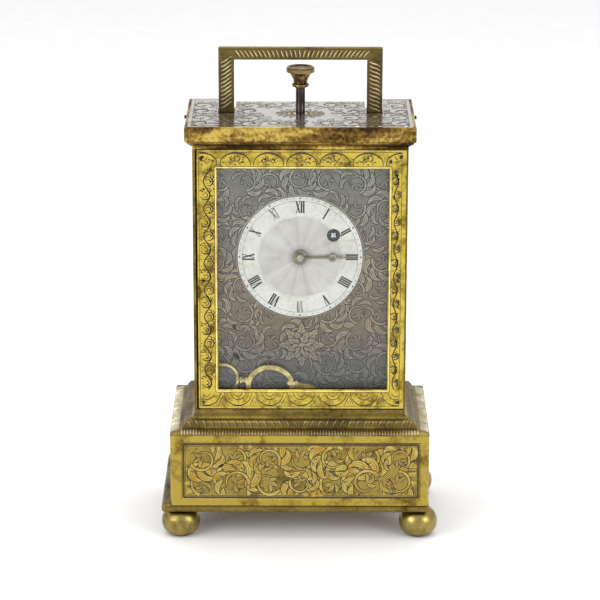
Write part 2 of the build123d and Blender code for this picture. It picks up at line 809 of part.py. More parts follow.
def movement_plate(y):
    """Plate with a bearing hole for each arbor and a hole for each pillar's end."""
    slab((-plate_half_width, plate_half_width), (floor_top, plate_top), y)
    for place, radius in arbor_pivots.items():
        disc(place, radius + running_gap, y, Mode.SUBTRACT)
    for place in pillar_places:
        disc(place, screw_hole, y, Mode.SUBTRACT)


minute_stud_radius, click_stud_radius = 0.60, 0.75
hammer_post_radius, lever_post_radius = 0.8, 0.8
cock_screw_place = (balance[0], 113.5)

with BuildPart() as front_plate:
    movement_plate((front_plate_front, front_plate_back))
save(front_plate, "front_plate")

with BuildPart() as back_plate:
    movement_plate((back_plate_front, back_plate_back))
    disc(balance, 2.0, (back_plate_front, back_plate_back), Mode.SUBTRACT)
    disc(cock_screw_place, screw_hole, (back_plate_front, back_plate_back), Mode.SUBTRACT)
    block(
        (lever_pivot[0] - 2.5, lever_pivot[0] + 2.5),
        (back_plate_front, back_plate_back),
        (plate_top, lever_pivot[1] + 2.5),
    )
    disc(lever_pivot, lever_post_radius, (back_plate_front, back_plate_back), Mode.SUBTRACT)
save(back_plate, "back_plate")

with BuildPart() as movement_pillars:
    for place in pillar_places:
        disc(place, 2.0, (front_plate_back, back_plate_front))
        disc(place, screw_hole, (front_plate_front, front_plate_back))
    for place in seat_screw_places:
        column(place, seat_screw_radius, (floor_top, 48.5), Mode.SUBTRACT)
    for place in pillar_places:
        disc(place, screw_hole, (back_plate_front - 4, back_plate_front), Mode.SUBTRACT)
save(movement_pillars, "movement_pillars")

with BuildPart() as movement_screws:
    for place in pillar_places + [cock_screw_place]:
        front_end = back_plate_front - 3.5 if place in pillar_places else back_plate_front
        head = back_plate_back if place in pillar_places else 14.4
        disc(place, screw_hole, (front_end, head))
        disc(place, 1.9, (head, head + 1.0))
        slab(
            (place[0] - 2, place[0] + 2),
            (place[1] - 0.2, place[1] + 0.2),
            (head + 0.5, head + 1.0),
            Mode.SUBTRACT,
        )
    for place in seat_screw_places:
        column(place, seat_screw_radius, (floor_pocket_top, 48.0))
        column(place, 2.0, (floor_pocket_top - 1.4, floor_pocket_top))
save(movement_screws, "movement_screws")

with BuildPart() as movement_studs:
    disc(minute_stud, minute_stud_radius, (-13.2, front_plate_front))
    disc(click_pivot, click_stud_radius, (-10.6, front_plate_front))
    disc(hammer_pivot, hammer_post_radius, (back_plate_back, 13.0))
    disc(lever_pivot, lever_post_radius, (lever_y[0] - 0.5, back_plate_back))
save(movement_studs, "movement_studs")

# ---- barrel ------------------------------------------------------------------------------------------
great_wheel_y = (-6.2, -5.0)
drum_back = 0.8
drum_radius, drum_wall = 10.6, 0.7
cap_thickness = 0.7
great_phase = 0.0
with BuildPart() as barrel:
    gear(barrel_centre, great_teeth, great_module, great_phase, great_wheel_y, wheel_tooth)
    disc(barrel_centre, drum_radius, (great_wheel_y[1], drum_back))
    disc(barrel_centre, drum_radius - drum_wall, (great_wheel_y[1], drum_back), Mode.SUBTRACT)
    disc(barrel_centre, 1.2 + running_gap, great_wheel_y, Mode.SUBTRACT)
save(barrel, "barrel")

with BuildPart() as barrel_cap:
    disc(barrel_centre, drum_radius - drum_wall, (drum_back - cap_thickness, drum_back))
    disc(barrel_centre, 1.2 + running_gap, (drum_back - cap_thickness, drum_back), Mode.SUBTRACT)
save(barrel_cap, "barrel_cap")

winding_square = 1.6
ratchet_y = (-10.3, -9.3)
with BuildPart() as barrel_arbor:
    square_bar(barrel_centre, winding_square, (-14.9, -9.0))
    disc(barrel_centre, 1.2, (-9.0, back_plate_back))
    disc(barrel_centre, 2.3, (great_wheel_y[1] + 0.2, drum_back - cap_thickness - 0.2))
save(barrel_arbor, "barrel_arbor")

with BuildPart() as mainspring:
    spiral(barrel_centre, 2.7, 9.3, 8, 0.35, (great_wheel_y[1] + 0.4, drum_back - cap_thickness - 0.4))
save(mainspring, "mainspring")

ratchet_teeth, ratchet_tip, ratchet_root = 20, 4.6, 3.9
with BuildPart() as ratchet_wheel:
    ratchet_points = []
    for index in range(ratchet_teeth):
        angle = 360 / ratchet_teeth * index
        ratchet_points += [
            beside(barrel_centre, ratchet_tip, angle),
            beside(barrel_centre, ratchet_root, angle + 1),
        ]
    outline(ratchet_points, ratchet_y)
    square_bar(barrel_centre, winding_square, ratchet_y, Mode.SUBTRACT)
save(ratchet_wheel, "ratchet_wheel")

click_tip = beside(barrel_centre, ratchet_tip + 0.55, 30)
with BuildPart() as click:
    bar(click_pivot, click_tip, 0.8, ratchet_y)
    disc(click_pivot, 1.4, ratchet_y)
    disc(click_pivot, click_stud_radius + running_gap, ratchet_y, Mode.SUBTRACT)
save(click, "click")

with BuildPart() as click_spring:
    spring_start = beside(click_pivot, 2.6, 75)
    spring_end = beside(click_pivot, 2.0, 5)
    bar(beside(spring_start, 7.0, 165), spring_start, 0.5, ratchet_y)
    bar(spring_start, spring_end, 0.5, ratchet_y)
    disc(beside(spring_start, 7.0, 165), 1.3, (ratchet_y[0], front_plate_front))
save(click_spring, "click_spring")

# ---- going train -------------------------------------------------------------------------------------
centre_pinion_y, centre_wheel_y = (-6.5, -4.7), (2.2, 3.2)
third_pinion_y, third_wheel_y = (1.8, 3.6), (-1.0, -0.2)
fourth_pinion_y, fourth_wheel_y = (-1.4, 0.2), (-4.6, -3.9)
escape_pinion_y, escape_wheel_y = (-5.0, -3.5), (4.2, 4.8)

centre_pinion_phase = mesh_phase(barrel_centre, great_teeth, great_phase, centre, centre_leaves)
third_pinion_phase = mesh_phase(centre, centre_teeth, 0, third, third_leaves)
fourth_pinion_phase = mesh_phase(third, third_teeth, 0, fourth, fourth_leaves)
escape_pinion_phase = mesh_phase(fourth, fourth_teeth, 0, escape, escape_leaves)


def arbor(place, pivot_radius, shaft_radius, y):
    """Arbor with a thinner pivot at each end, in the two plates."""
    disc(place, pivot_radius, y)
    disc(place, shaft_radius, (front_plate_back + 0.2, back_plate_front - 0.2))


def wheel(place, teeth, module, y, spoke_count, hub):
    """Crossed-out wheel whose tooth 0 points along +X."""
    gear(place, teeth, module, 0, y, wheel_tooth)
    spokes(place, hub, module * teeth / 2 - 3.2 * module, spoke_count, 0.9, y)


with BuildPart() as centre_wheel:
    wheel(centre, centre_teeth, centre_module, centre_wheel_y, 5, 2.0)
    gear(centre, centre_leaves, great_module, centre_pinion_phase, centre_pinion_y, pinion_leaf)
    arbor(centre, 0.60, 0.9, (front_plate_front, back_plate_back))
    disc(centre, cannon_bore - running_gap, (-17.0, front_plate_front))
save(centre_wheel, "centre_wheel")

with BuildPart() as third_wheel:
    wheel(third, third_teeth, third_module, third_wheel_y, 4, 1.7)
    gear(third, third_leaves, centre_module, third_pinion_phase, third_pinion_y, pinion_leaf)
    arbor(third, 0.50, 0.55, (front_plate_front, back_plate_back))
save(third_wheel, "third_wheel")

with BuildPart() as fourth_wheel:
    wheel(fourth, fourth_teeth, fourth_module, fourth_wheel_y, 4, 1.6)
    gear(fourth, fourth_leaves, third_module, fourth_pinion_phase, fourth_pinion_y, pinion_leaf)
    arbor(fourth, 0.50, 0.55, (front_plate_front, back_plate_back))
save(fourth_wheel, "fourth_wheel")

escape_teeth = 15
with BuildPart() as escape_wheel:
    escape_points = []
    for index in range(escape_teeth):
        angle = 360 / escape_teeth * index
        escape_points += [
            beside(escape, escape_radius, angle),
            beside(escape, escape_radius - 1.3, angle + 5),
            beside(escape, escape_radius - 1.3, angle + 16),
        ]
    outline(escape_points, escape_wheel_y)
    spokes(escape, 1.1, 2.2, 4, 0.6, escape_wheel_y)
    gear(escape, escape_leaves, fourth_module, escape_pinion_phase, escape_pinion_y, pinion_leaf)
    arbor(escape, 0.50, 0.5, (front_plate_front, back_plate_back))
save(escape_wheel, "escape_wheel")

balance_y = (9.6, 10.4)
with BuildPart() as balance_wheel:
    disc(balance, 7.5, balance_y)
    spokes(balance, 1.4, 6.5, 3, 0.9, balance_y)
    disc(balance, 0.50, (front_plate_front, 14.4))
    disc(balance, 0.9, (8.8, 11.0))
save(balance_wheel, "balance_wheel")

with BuildPart() as hairspring:
    spiral(balance, 0.9, 4.4, 7, 0.18, (11.4, 12.0))
    disc(balance, 1.0, (11.2, 12.2))
    disc(balance, 0.50, (11.2, 12.2), Mode.SUBTRACT)
save(hairspring, "hairspring")

with BuildPart() as balance_cock:
    bar(balance, cock_screw_place, 5.0, (13.2, 14.4))
    slab((balance[0] - 3, balance[0] + 3), (110.8, 116.2), (back_plate_back, 14.4))
    disc(balance, 0.50 + running_gap, (13.2, 14.4), Mode.SUBTRACT)
    disc(cock_screw_place, screw_hole, (back_plate_back, 14.4), Mode.SUBTRACT)
save(balance_cock, "balance_cock")

# ---- gong and hammer ---------------------------------------------------------------------------------
gong_y = (10.2, 11.8)
gong_wire = 1.4
with BuildPart() as gong:
    spiral(gong_centre, 8.5, gong_radius, 2.25, gong_wire, gong_y, start=180)
save(gong, "gong")

with BuildPart() as gong_block:
    block((-4, 4), (8.4, 13.6), (floor_top, gong_centre[1] - gong_radius - gong_wire / 2))
    fillet(gong_block.edges().filter_by(Axis.Z), 1.0)
save(gong_block, "gong_block")

hammer_head = (gong_radius + gong_wire / 2 + 2.1, 72.0)
with BuildPart() as hammer:
    bar(hammer_pivot, hammer_head, 1.4, (10.4, 11.6))
    disc(hammer_pivot, 1.8, (10.0, 12.0))
    disc(hammer_head, 1.5, (9.4, 12.6))
    disc(hammer_pivot, hammer_post_radius + running_gap, (10.0, 12.0), Mode.SUBTRACT)
save(hammer, "hammer")

# ---- winding key, stored between the mask and the glass ----------------------------------------------
bow_centre = (-10.1, 52.7)
key_y = (-16.7, -15.1)
with BuildPart() as winding_key:
    with BuildSketch(facing(key_y[1])):
        with Locations(bow_centre):
            Ellipse(8.2, 7.3)
            Ellipse(6.6, 5.7, mode=Mode.SUBTRACT)
    extrude(amount=key_y[1] - key_y[0])
    bar((-19.9, 54.8), (-17.3, 54.3), 1.3, key_y)
    slab((-18.5, -17.9), (53.5, 55.6), key_y)
    slab((-20.3, -19.7), (53.6, 55.7), key_y)
    bar((-3.4, 53.6), (4.2, 52.0), 1.7, key_y)
    slab((-1.4, -0.8), (51.9, 54.4), key_y)
save(winding_key, "winding_key")

ring_centre = (-26.1, 55.0)
with BuildPart() as key_ring:
    with BuildSketch(facing(-15.3)):
        with Locations(ring_centre):
            Circle(5.4)
            Circle(4.6, mode=Mode.SUBTRACT)
    extrude(amount=0.9)
save(key_ring, "key_ring")
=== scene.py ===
"""Gilt carriage clock: studio, materials, engraving, dial printing and the looks of every piece."""

import math
import random

import bpy
from mathutils import Matrix, Vector


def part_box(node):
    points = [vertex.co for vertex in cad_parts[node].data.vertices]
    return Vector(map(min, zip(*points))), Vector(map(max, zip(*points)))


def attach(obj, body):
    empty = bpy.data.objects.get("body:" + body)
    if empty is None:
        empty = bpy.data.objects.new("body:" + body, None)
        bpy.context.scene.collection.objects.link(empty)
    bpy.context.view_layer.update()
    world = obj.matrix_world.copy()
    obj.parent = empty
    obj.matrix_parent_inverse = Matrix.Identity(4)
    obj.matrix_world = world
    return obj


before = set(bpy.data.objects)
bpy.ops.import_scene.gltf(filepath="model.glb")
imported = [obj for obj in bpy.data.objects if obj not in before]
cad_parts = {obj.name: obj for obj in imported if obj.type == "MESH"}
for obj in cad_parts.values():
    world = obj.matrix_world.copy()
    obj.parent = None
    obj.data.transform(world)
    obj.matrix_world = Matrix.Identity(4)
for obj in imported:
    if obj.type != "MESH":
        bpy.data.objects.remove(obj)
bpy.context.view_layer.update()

MM = 0.001
TAU = 2 * math.pi
ALL_ROUND = ("front", "right", "back", "left")

HUB = (0.0, 97.8)
WINDING = (11.2, 105.4)
HANDLE_LEG = 5.2
HANDLE_BAR = 4.2


# ---------------------------------------------------------------- places, in millimetres


def span(node):
    """Lowest and highest corner of a CAD node, in millimetres."""
    low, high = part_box(node)
    return low / MM, high / MM


def plane(origin, right, up):
    """A map from (u, v, height above the surface) in millimetres to a point in the frame."""
    origin, right, up = Vector(origin), Vector(right), Vector(up)
    out = right.cross(up)
    return lambda u, v, h: (origin + right * u + up * v + out * h) * MM


def facing(side, distance, z=0, shift=0):
    """The upright plane on one side of the clock, looking at it from outside."""
    right = {"front": (1, 0, 0), "right": (0, 1, 0), "back": (-1, 0, 0), "left": (0, -1, 0)}[side]
    out = Vector(right).cross(Vector((0, 0, 1)))
    return plane(out * distance + Vector(right) * shift + Vector((0, 0, z)), right, (0, 0, 1))


def lying(x, y, z):
    """A horizontal plane seen from above."""
    return plane((x, y, z), (1, 0, 0), (0, 1, 0))


def around(centre, radius, angle):
    """The point that lies at a distance and in a direction from a centre."""
    return centre[0] + radius * math.cos(angle), centre[1] + radius * math.sin(angle)


def between(a, b, share):
    """The point that lies some share of the way from a to b."""
    return a[0] + (b[0] - a[0]) * share, a[1] + (b[1] - a[1]) * share


def inside(x0, y0, x1, y1):
    """A test for points of a rectangle."""
    return lambda x, y: x0 <= x <= x1 and y0 <= y <= y1


# ---------------------------------------------------------------- materials


def tone(red, green, blue):
    """A colour from its 0 to 255 screen values, as the linear values that shaders take."""
    linear = (((c / 255 + 0.055) / 1.055) ** 2.4 if c > 10 else c / 3294 for c in (red, green, blue))
    return (*linear, 1)


class Finish:
    """A material and short ways to add nodes to it."""

    def __init__(self, name, **sockets):
        self.material = bpy.data.materials.new(name)
        self.material.use_nodes = True
        self.tree = self.material.node_tree
        self.shader = self.tree.nodes["Principled BSDF"]
        for socket, value in sockets.items():
            self.shader.inputs[socket.replace("_", " ")].default_value = value
        self.place = self.node("ShaderNodeTexCoord").outputs["Object"]

    def node(self, kind, inputs=(), **settings):
        made = self.tree.nodes.new(kind)
        for key, value in settings.items():
            setattr(made, key, value)
        for socket, value in dict(inputs).items():
            if isinstance(value, bpy.types.NodeSocket):
                self.tree.links.new(value, made.inputs[socket])
            else:
                made.inputs[socket].default_value = value
        return made

    def noise(self, scale, detail=3, place=None, distortion=0):
        inputs = {"Vector": place or self.place, "Scale": scale, "Detail": detail, "Distortion": distortion}
        return self.node("ShaderNodeTexNoise", inputs).outputs["Fac"]

    def stretched(self, x, y, z):
        return self.node("ShaderNodeMapping", {"Vector": self.place, "Scale": (x, y, z)}).outputs["Vector"]

    def math(self, operation, *values):
        return self.node("ShaderNodeMath", dict(enumerate(values)), operation=operation).outputs[0]

    def ramp(self, value, *stops):
        made = self.node("ShaderNodeValToRGB", {"Fac": value})
        elements = made.color_ramp.elements
        while len(elements) < len(stops):
            elements.new(0.5)
        for element, (position, colour) in zip(elements, stops):
            element.position = position
            element.color = colour
        return made.outputs["Color"]

    def level(self, value, low, high, out_low=0, out_high=1):
        inputs = {"Value": value, "From Min": low, "From Max": high, "To Min": out_low, "To Max": out_high}
        return self.node("ShaderNodeMapRange", inputs).outputs["Result"]

    def blend(self, share, first, second):
        made = self.node("ShaderNodeMix", data_type="RGBA")
        for socket, value in ((made.inputs[0], share), (made.inputs[6], first), (made.inputs[7], second)):
            if isinstance(value, bpy.types.NodeSocket):
                self.tree.links.new(value, socket)
            else:
                socket.default_value = value
        return made.outputs[2]

    def drive(self, socket, value):
        self.tree.links.new(value, self.shader.inputs[socket])

    def bump(self, height, strength, distance=0.0001):
        inputs = {"Height": height, "Strength": strength, "Distance": distance}
        self.drive("Normal", self.node("ShaderNodeBump", inputs).outputs["Normal"])

    def shade_in_corners(self, distance):
        """Ambient occlusion, for painted shade: near 0 in corners and joints, 1 on open faces."""
        return self.node("ShaderNodeAmbientOcclusion", {"Distance": distance}, samples=6).outputs["AO"]


def aged_metal(name, bright, worn, dark, patch, roughness=(0.26, 0.46), streak=(1, 1, 1),
               tarnish=(0.35, 0.62), corners=0.0016, bump=0.25):
    """Old gilt metal: open faces bright, patches worn, tarnish in small specks, painted shade in corners and
    joints.
    """
    bright, worn, dark = tone(*bright), tone(*worn), tone(*dark)
    finish = Finish(name, Metallic=1.0)
    patches = finish.noise(patch, 4, finish.stretched(*streak), 0.6)
    specks = finish.noise(900, 3)
    mixed = finish.math("MULTIPLY_ADD", specks, 0.35, finish.math("MULTIPLY", patches, 0.8))
    low, high = tarnish
    colour = finish.ramp(mixed, (low - 0.06, dark), (low + 0.06, worn), (high, bright))
    # Painted shade: the colour darkens in corners and joints, by ambient occlusion within the distance given
    # as corners.
    corner_shade = finish.ramp(finish.shade_in_corners(corners), (0.25, dark), (0.7, (1, 1, 1, 1)))
    both = finish.node("ShaderNodeMix", data_type="RGBA", blend_type="MULTIPLY")
    both.inputs[0].default_value = 0.85
    finish.tree.links.new(colour, both.inputs[6])
    finish.tree.links.new(corner_shade, both.inputs[7])
    finish.drive("Base Color", both.outputs[2])
    finish.drive("Roughness", finish.level(mixed, low, high, roughness[1], roughness[0]))
    finish.bump(specks, bump)
    return finish.material


def plain_metal(name, bright, dark, roughness, scale=400):
    """A metal with a fine grain of two close tones."""
    finish = Finish(name, Metallic=1.0)
    grain = finish.noise(scale, 4)
    finish.drive("Base Color", finish.ramp(grain, (0.35, tone(*dark)), (0.65, tone(*bright))))
    finish.drive("Roughness", finish.level(grain, 0.3, 0.7, roughness * 1.3, roughness * 0.8))
    finish.bump(grain, 0.1, 0.00005)
    return finish.material


def fill_ink(name, dark, light):
    """The dark filling of engraved lines, worn in places."""
    finish = Finish(name, Metallic=0.0)
    grain = finish.noise(700, 3)
    finish.drive("Base Color", finish.ramp(grain, (0.4, tone(*dark)), (0.72, tone(*light))))
    finish.drive("Roughness", finish.level(grain, 0.3, 0.7, 0.6, 0.48))
    return finish.material


def mask_metal(name, share):
    """Grey silvered metal, browner halfway up, darkened towards the foot by painted shade; share 0 is the
    ground, 1 the leaves.
    """
    low, high = span("mask_plate")
    finish = Finish(name, Metallic=0.75)
    z = finish.node("ShaderNodeSeparateXYZ", {"Vector": finish.place}).outputs["Z"]
    patches = finish.noise(70, 4, None, 0.8)
    height = finish.math("MULTIPLY_ADD", patches, 0.016, z)
    ground = ((84, 87, 90), (106, 102, 96), (130, 115, 96), (134, 124, 108), (132, 130, 122))
    leaves = ((108, 111, 114), (136, 131, 122), (176, 157, 130), (178, 166, 143), (174, 171, 160))
    colours = [tone(*(a + (b - a) * share for a, b in zip(*pair))) for pair in zip(ground, leaves)]
    # Colour by height over the mask: the dark lowest stops are painted shade at its foot.
    bottom, top = low.z * MM + 0.008, high.z * MM + 0.008
    stops = zip((0.03, 0.15, 0.30, 0.6, 0.9), colours)
    grain = finish.noise(600, 3)
    tones = finish.ramp(finish.level(height, bottom, top), *stops)
    speckled = finish.blend(finish.level(grain, 0.3, 0.8, 0, 0.45), tones, tone(40, 38, 34))
    finish.drive("Base Color", speckled)
    finish.drive("Roughness", finish.level(grain, 0.3, 0.7, 0.5, 0.36))
    finish.bump(grain, 0.05, 0.00003)
    return finish.material


def dial_silver(centre, radius):
    """Silvered dial: a fine grained ring and an engine-turned sunburst inside it."""
    finish = Finish("dial_silvering", Metallic=0.55)
    parts = finish.node("ShaderNodeSeparateXYZ", {"Vector": finish.place}).outputs
    x = finish.math("SUBTRACT", parts["X"], centre[0])
    z = finish.math("SUBTRACT", parts["Z"], centre[1])
    angle = finish.math("ARCTAN2", x, z)
    squares = finish.math("ADD", finish.math("MULTIPLY", x, x), finish.math("MULTIPLY", z, z))
    distance = finish.math("SQRT", squares)
    direction = {"X": finish.math("SINE", angle), "Y": finish.math("COSINE", angle)}
    turned = finish.node("ShaderNodeCombineXYZ", direction).outputs["Vector"]
    rays = finish.noise(3.1, 2, turned)
    fine_rays = finish.noise(26, 3, turned)
    blotches = finish.noise(130, 3, None, 0.6)
    soft_rays = finish.math("MULTIPLY_ADD", fine_rays, 0.2, finish.math("MULTIPLY", rays, 0.45))
    shade = finish.math("MULTIPLY_ADD", blotches, 0.38, soft_rays)
    burst = finish.ramp(shade, (0.36, tone(186, 180, 174)), (0.5, tone(207, 202, 197)),
                        (0.64, tone(222, 218, 213)))
    grain = finish.noise(900, 3)
    stain = finish.noise(90, 3, None, 0.5)
    ring = finish.ramp(finish.math("MULTIPLY_ADD", grain, 0.5, finish.math("MULTIPLY", stain, 0.6)),
                       (0.36, tone(206, 201, 187)), (0.55, tone(227, 224, 216)), (0.7, tone(238, 236, 230)))
    inner = finish.level(distance, radius * 0.64, radius * 0.66)
    colour = finish.blend(inner, burst, ring)
    shadow = finish.level(distance, 0.0, radius * 0.22)
    finish.drive("Base Color", finish.blend(shadow, tone(112, 106, 98), colour))
    finish.drive("Roughness", finish.level(grain, 0.3, 0.7, 0.5, 0.4))
    finish.bump(fine_rays, 0.12, 0.00003)
    return finish.material


def clear_glass():
    """Thin clear glass that mirrors a little and lets light through."""
    finish = Finish("clear_glass")
    clear = finish.node("ShaderNodeBsdfTransparent", {"Color": (0.975, 0.985, 0.98, 1)})
    mirror = finish.node("ShaderNodeBsdfGlossy", {"Roughness": 0.03, "Color": (1, 1, 1, 1)})
    smear = finish.noise(35, 3)
    gloss = finish.math("MULTIPLY", finish.node("ShaderNodeFresnel", {"IOR": 1.45}).outputs["Fac"],
                        finish.level(smear, 0.3, 0.7, 0.5, 0.8))
    mixed = finish.node("ShaderNodeMixShader", {0: gloss, 1: clear.outputs[0], 2: mirror.outputs[0]})
    finish.tree.links.new(mixed.outputs[0], finish.tree.nodes["Material Output"].inputs["Surface"])
    finish.tree.nodes.remove(finish.shader)
    return finish.material


# ---------------------------------------------------------------- engraving


# Heights over the metal in millimetres: of the lowest line, between the levels of scrolls, and from each
# filled shape to the next; and how deep every ribbon is rooted.
BASE_HEIGHT = 0.012
LEVEL_HEIGHT = 0.035
BODY_STEP = 0.003
ROOT_DEPTH = 0.02


class Art:
    """Strokes and leaves on one surface: flat ribbons, each closed, later leaves lying over earlier ones."""

    def __init__(self, surface, keep=None, line=0.07, longest=0):
        self.surface = surface
        self.keep = keep
        self.line = line
        self.longest = longest
        self.height = BASE_HEIGHT
        self.layers = {"ink": [], "leaf": [], "shine": []}

    def ribbon(self, layer, points, widths):
        """A closed ribbon along the points, with its half width at each."""
        if self.longest or self.keep and not all(self.keep(*point) for point in points):
            points, widths = finer(points, widths, self.longest or 0.2)
        run = []
        for point, width in zip(points, widths):
            if self.keep is None or self.keep(*point):
                run.append((point, width))
            else:
                self.store(layer, run)
                run = []
        self.store(layer, run)

    def store(self, layer, run):
        if len(run) > 1:
            lift = 0 if layer == "leaf" else BODY_STEP / 2
            self.layers[layer].append(([p for p, _ in run], [w for _, w in run], self.height + lift))

    def stroke(self, points, width=None, layer="ink", taper=True):
        """A cut line, thinner at both ends if it tapers."""
        width = self.line if width is None else width
        last = len(points) - 1
        swells = [math.sin(math.pi * (0.12 + 0.76 * i / last)) if taper else 1 for i in range(last + 1)]
        self.ribbon(layer, points, [width * swell for swell in swells])

    def leaf(self, base, heading, length, width, curl, lobes, veins=2):
        """A leaf with lobed edges: its body, its outline and its veins."""
        count = 5 * lobes
        x, y = base
        spine, halves = [], []
        for i in range(count + 1):
            s = i / count
            spine.append((x, y))
            body = width * math.sin(math.pi * min(1, 0.06 + 0.94 * s) ** 0.75) + 0.03
            lobe = 0.62 + 0.38 * abs(math.sin(math.pi * lobes * s))
            halves.append(body * lobe)
            turn = heading + curl * s
            x += math.cos(turn) * length / count
            y += math.sin(turn) * length / count
        self.body(spine, halves)
        self.stroke(spine[: count - 1], self.line * 0.7)
        for k in range(veins):
            at = int(count * (k + 1) / (veins + 1.5))
            turn = heading + curl * at / count
            for side in (-1, 1):
                tip = around(spine[at], halves[at] * 0.85, turn + side * 0.7)
                self.stroke([spine[at], tip], self.line * 0.55)

    def frond(self, base, heading, length, width, curl):
        """A smooth curling plume with a line near each of its edges."""
        x, y = base
        spine, halves = [], []
        for i in range(15):
            s = i / 14
            spine.append((x, y))
            halves.append(width * (0.25 + math.sin(math.pi * s ** 0.8)) * 0.8 + 0.03)
            turn = heading + curl * s ** 1.6
            x += math.cos(turn) * length / 14
            y += math.sin(turn) * length / 14
        self.body(spine, halves)
        for share in (-0.35, 0.3):
            inner = [half * abs(share) for half in halves]
            line = edge_of(spine, inner, 0 if share > 0 else 1)
            self.stroke(line[2:11], self.line * 0.6)

    def plume_scroll(self, centre, radius, start, hand, fronds, level):
        """A C-shaped stem with plumes that curl away from it, and a bud at its end."""
        self.height = BASE_HEIGHT + LEVEL_HEIGHT * level
        for k in range(fronds):
            a = start + hand * 4.6 * k / fronds
            size = radius * (1.25 - 0.5 * k / fronds)
            self.frond(around(centre, radius * 0.62, a), a + hand * 0.9, size, size * 0.15, hand * 2.3)
        stem = [around(centre, radius * (0.66 - 0.36 * t / 20), start + hand * 5.4 * t / 20)
                for t in range(21)]
        self.body(stem, [radius * 0.08 * (1.1 - t / 26) for t in range(21)])
        for k in range(3):
            a = start + hand * (5.0 + 0.9 * k)
            self.frond(around(centre, radius * 0.08, a), a, radius * 0.42, radius * 0.1, hand * 1.2)

    def body(self, spine, halves):
        """A light filled shape with a dark outline down both of its sides."""
        self.height += BODY_STEP
        self.ribbon("leaf", spine, halves)
        for side in (0, 1):
            self.stroke(edge_of(spine, halves, side), self.line, taper=False)

    def scroll(self, centre, radius, start, hand, level=0):
        """A stem that winds in to a bud, with leaves along its outer side; higher levels lie on top."""
        self.height = BASE_HEIGHT + LEVEL_HEIGHT * level
        leaves, turns = 6, 1.1

        def stem(t):
            angle = start + hand * t * turns * TAU
            return around(centre, radius * (1 - 0.8 * t), angle), angle

        for k in range(leaves):
            t = 0.05 + 0.62 * k / leaves
            base, angle = stem(t)
            length = radius * (1.1 - 0.6 * t)
            self.leaf(base, angle + hand * 0.6, length, length * 0.3, -hand * 1.5, 2)
        points = [stem(i / 26)[0] for i in range(27)]
        self.body(points, [radius * 0.06 * (1.2 - i / 26) for i in range(27)])
        self.boss(points[-1], radius * 0.16, radius * 0.15, radius * 0.05)

    def boss(self, centre, reach, half, end):
        """A small lozenge with blunt ends."""
        x, y = centre
        self.body([(x - reach, y), (x, y), (x + reach, y)], [end, half, end])

    def circle(self, centre, radius, width, start=0.0, sweep=TAU, count=28):
        points = [around(centre, radius, start + sweep * i / count) for i in range(count + 1)]
        self.stroke(points, width, taper=sweep < TAU)

    def dot(self, centre, radius):
        """A small round pit."""
        across = (-0.95, -0.6, 0, 0.6, 0.95)
        points = [(centre[0] + radius * a, centre[1]) for a in across]
        self.ribbon("ink", points, [radius * math.sqrt(1 - a * a) for a in across])

    def frame_line(self, x0, y0, x1, y1, width, layer="ink"):
        """A ruled rectangle."""
        corners = [(x0, y0), (x1, y0), (x1, y1), (x0, y1), (x0, y0)]
        for a, b in zip(corners, corners[1:]):
            steps = max(2, int(math.dist(a, b) / 3))
            points = [between(a, b, i / steps) for i in range(steps + 1)]
            self.stroke(points, width, layer, taper=False)

    def piece(self, name, layer, material, body="case"):
        """The layer's ribbons as one mesh that rides on a body."""
        vertices, faces = [], []
        for points, widths, height in self.layers[layer]:
            first = len(vertices)
            for left, right in zip(edge_of(points, widths, 0), edge_of(points, widths, 1)):
                middle = between(left, right, 0.5)
                vertices.append(self.surface(*left, height))
                vertices.append(self.surface(*right, height))
                vertices.append(self.surface(*middle, -ROOT_DEPTH))
            for i in range(first, first + 3 * (len(points) - 1), 3):
                faces += [(i, i + 1, i + 4, i + 3), (i + 1, i + 2, i + 5, i + 4), (i + 2, i, i + 3, i + 5)]
            last = len(vertices) - 3
            faces += [(first, first + 2, first + 1), (last, last + 1, last + 2)]
        mesh_piece(name, body, vertices, faces, material)


def finer(points, widths, longest):
    """The same line in short steps, so that it can be cut, or follow a curved surface."""
    fine_points, fine_widths = [points[0]], [widths[0]]
    for a, b, wide_a, wide_b in zip(points, points[1:], widths, widths[1:]):
        steps = max(1, math.ceil(math.dist(a, b) / longest))
        for i in range(1, steps + 1):
            share = i / steps
            fine_points.append(between(a, b, share))
            fine_widths.append(wide_a + (wide_b - wide_a) * share)
    return fine_points, fine_widths


def edge_of(points, widths, side):
    """The left (0) or right (1) edge of a ribbon."""
    edge = []
    for i, (x, y) in enumerate(points):
        before, after = points[max(0, i - 1)], points[min(len(points) - 1, i + 1)]
        dx, dy = after[0] - before[0], after[1] - before[1]
        size = math.hypot(dx, dy) or 1
        reach = max(0.015, widths[i]) * (1 if side == 0 else -1) / size
        edge.append((x - dy * reach, y + dx * reach))
    return edge


def mesh_piece(name, body, vertices, faces, material):
    """A flat-shaded mesh with one material that rides on a body."""
    mesh = bpy.data.meshes.new(name)
    mesh.from_pydata([tuple(v) for v in vertices], [], faces)
    mesh.validate()
    made = bpy.data.objects.new(name, mesh)
    bpy.context.scene.collection.objects.link(made)
    made.data.materials.append(material)
    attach(made, body)


# ---------------------------------------------------------------- what is engraved where


def engrave_doors(materials):
    """The front frame, and the rear one as its mirror image, clear of the rear knob."""
    low, high = span("front_door_frame")
    a0, b0, a1, b1 = window = (-27.6, 52.1, 29.5, 129.2)
    engrave_door("front_door", "front", -low.y, (low.x, low.z, high.x, high.z), window, materials)
    low, high = span("rear_door_frame")
    knob_low, knob_high = span("rear_door_knob")
    knob = (-(knob_low.x + knob_high.x) / 2, (knob_low.z + knob_high.z) / 2)
    rear_frame, rear_window = (-high.x, low.z, -low.x, high.z), (-a1, b0, -a0, b1)
    engrave_door("rear_door", "back", high.y, rear_frame, rear_window, materials, knob)


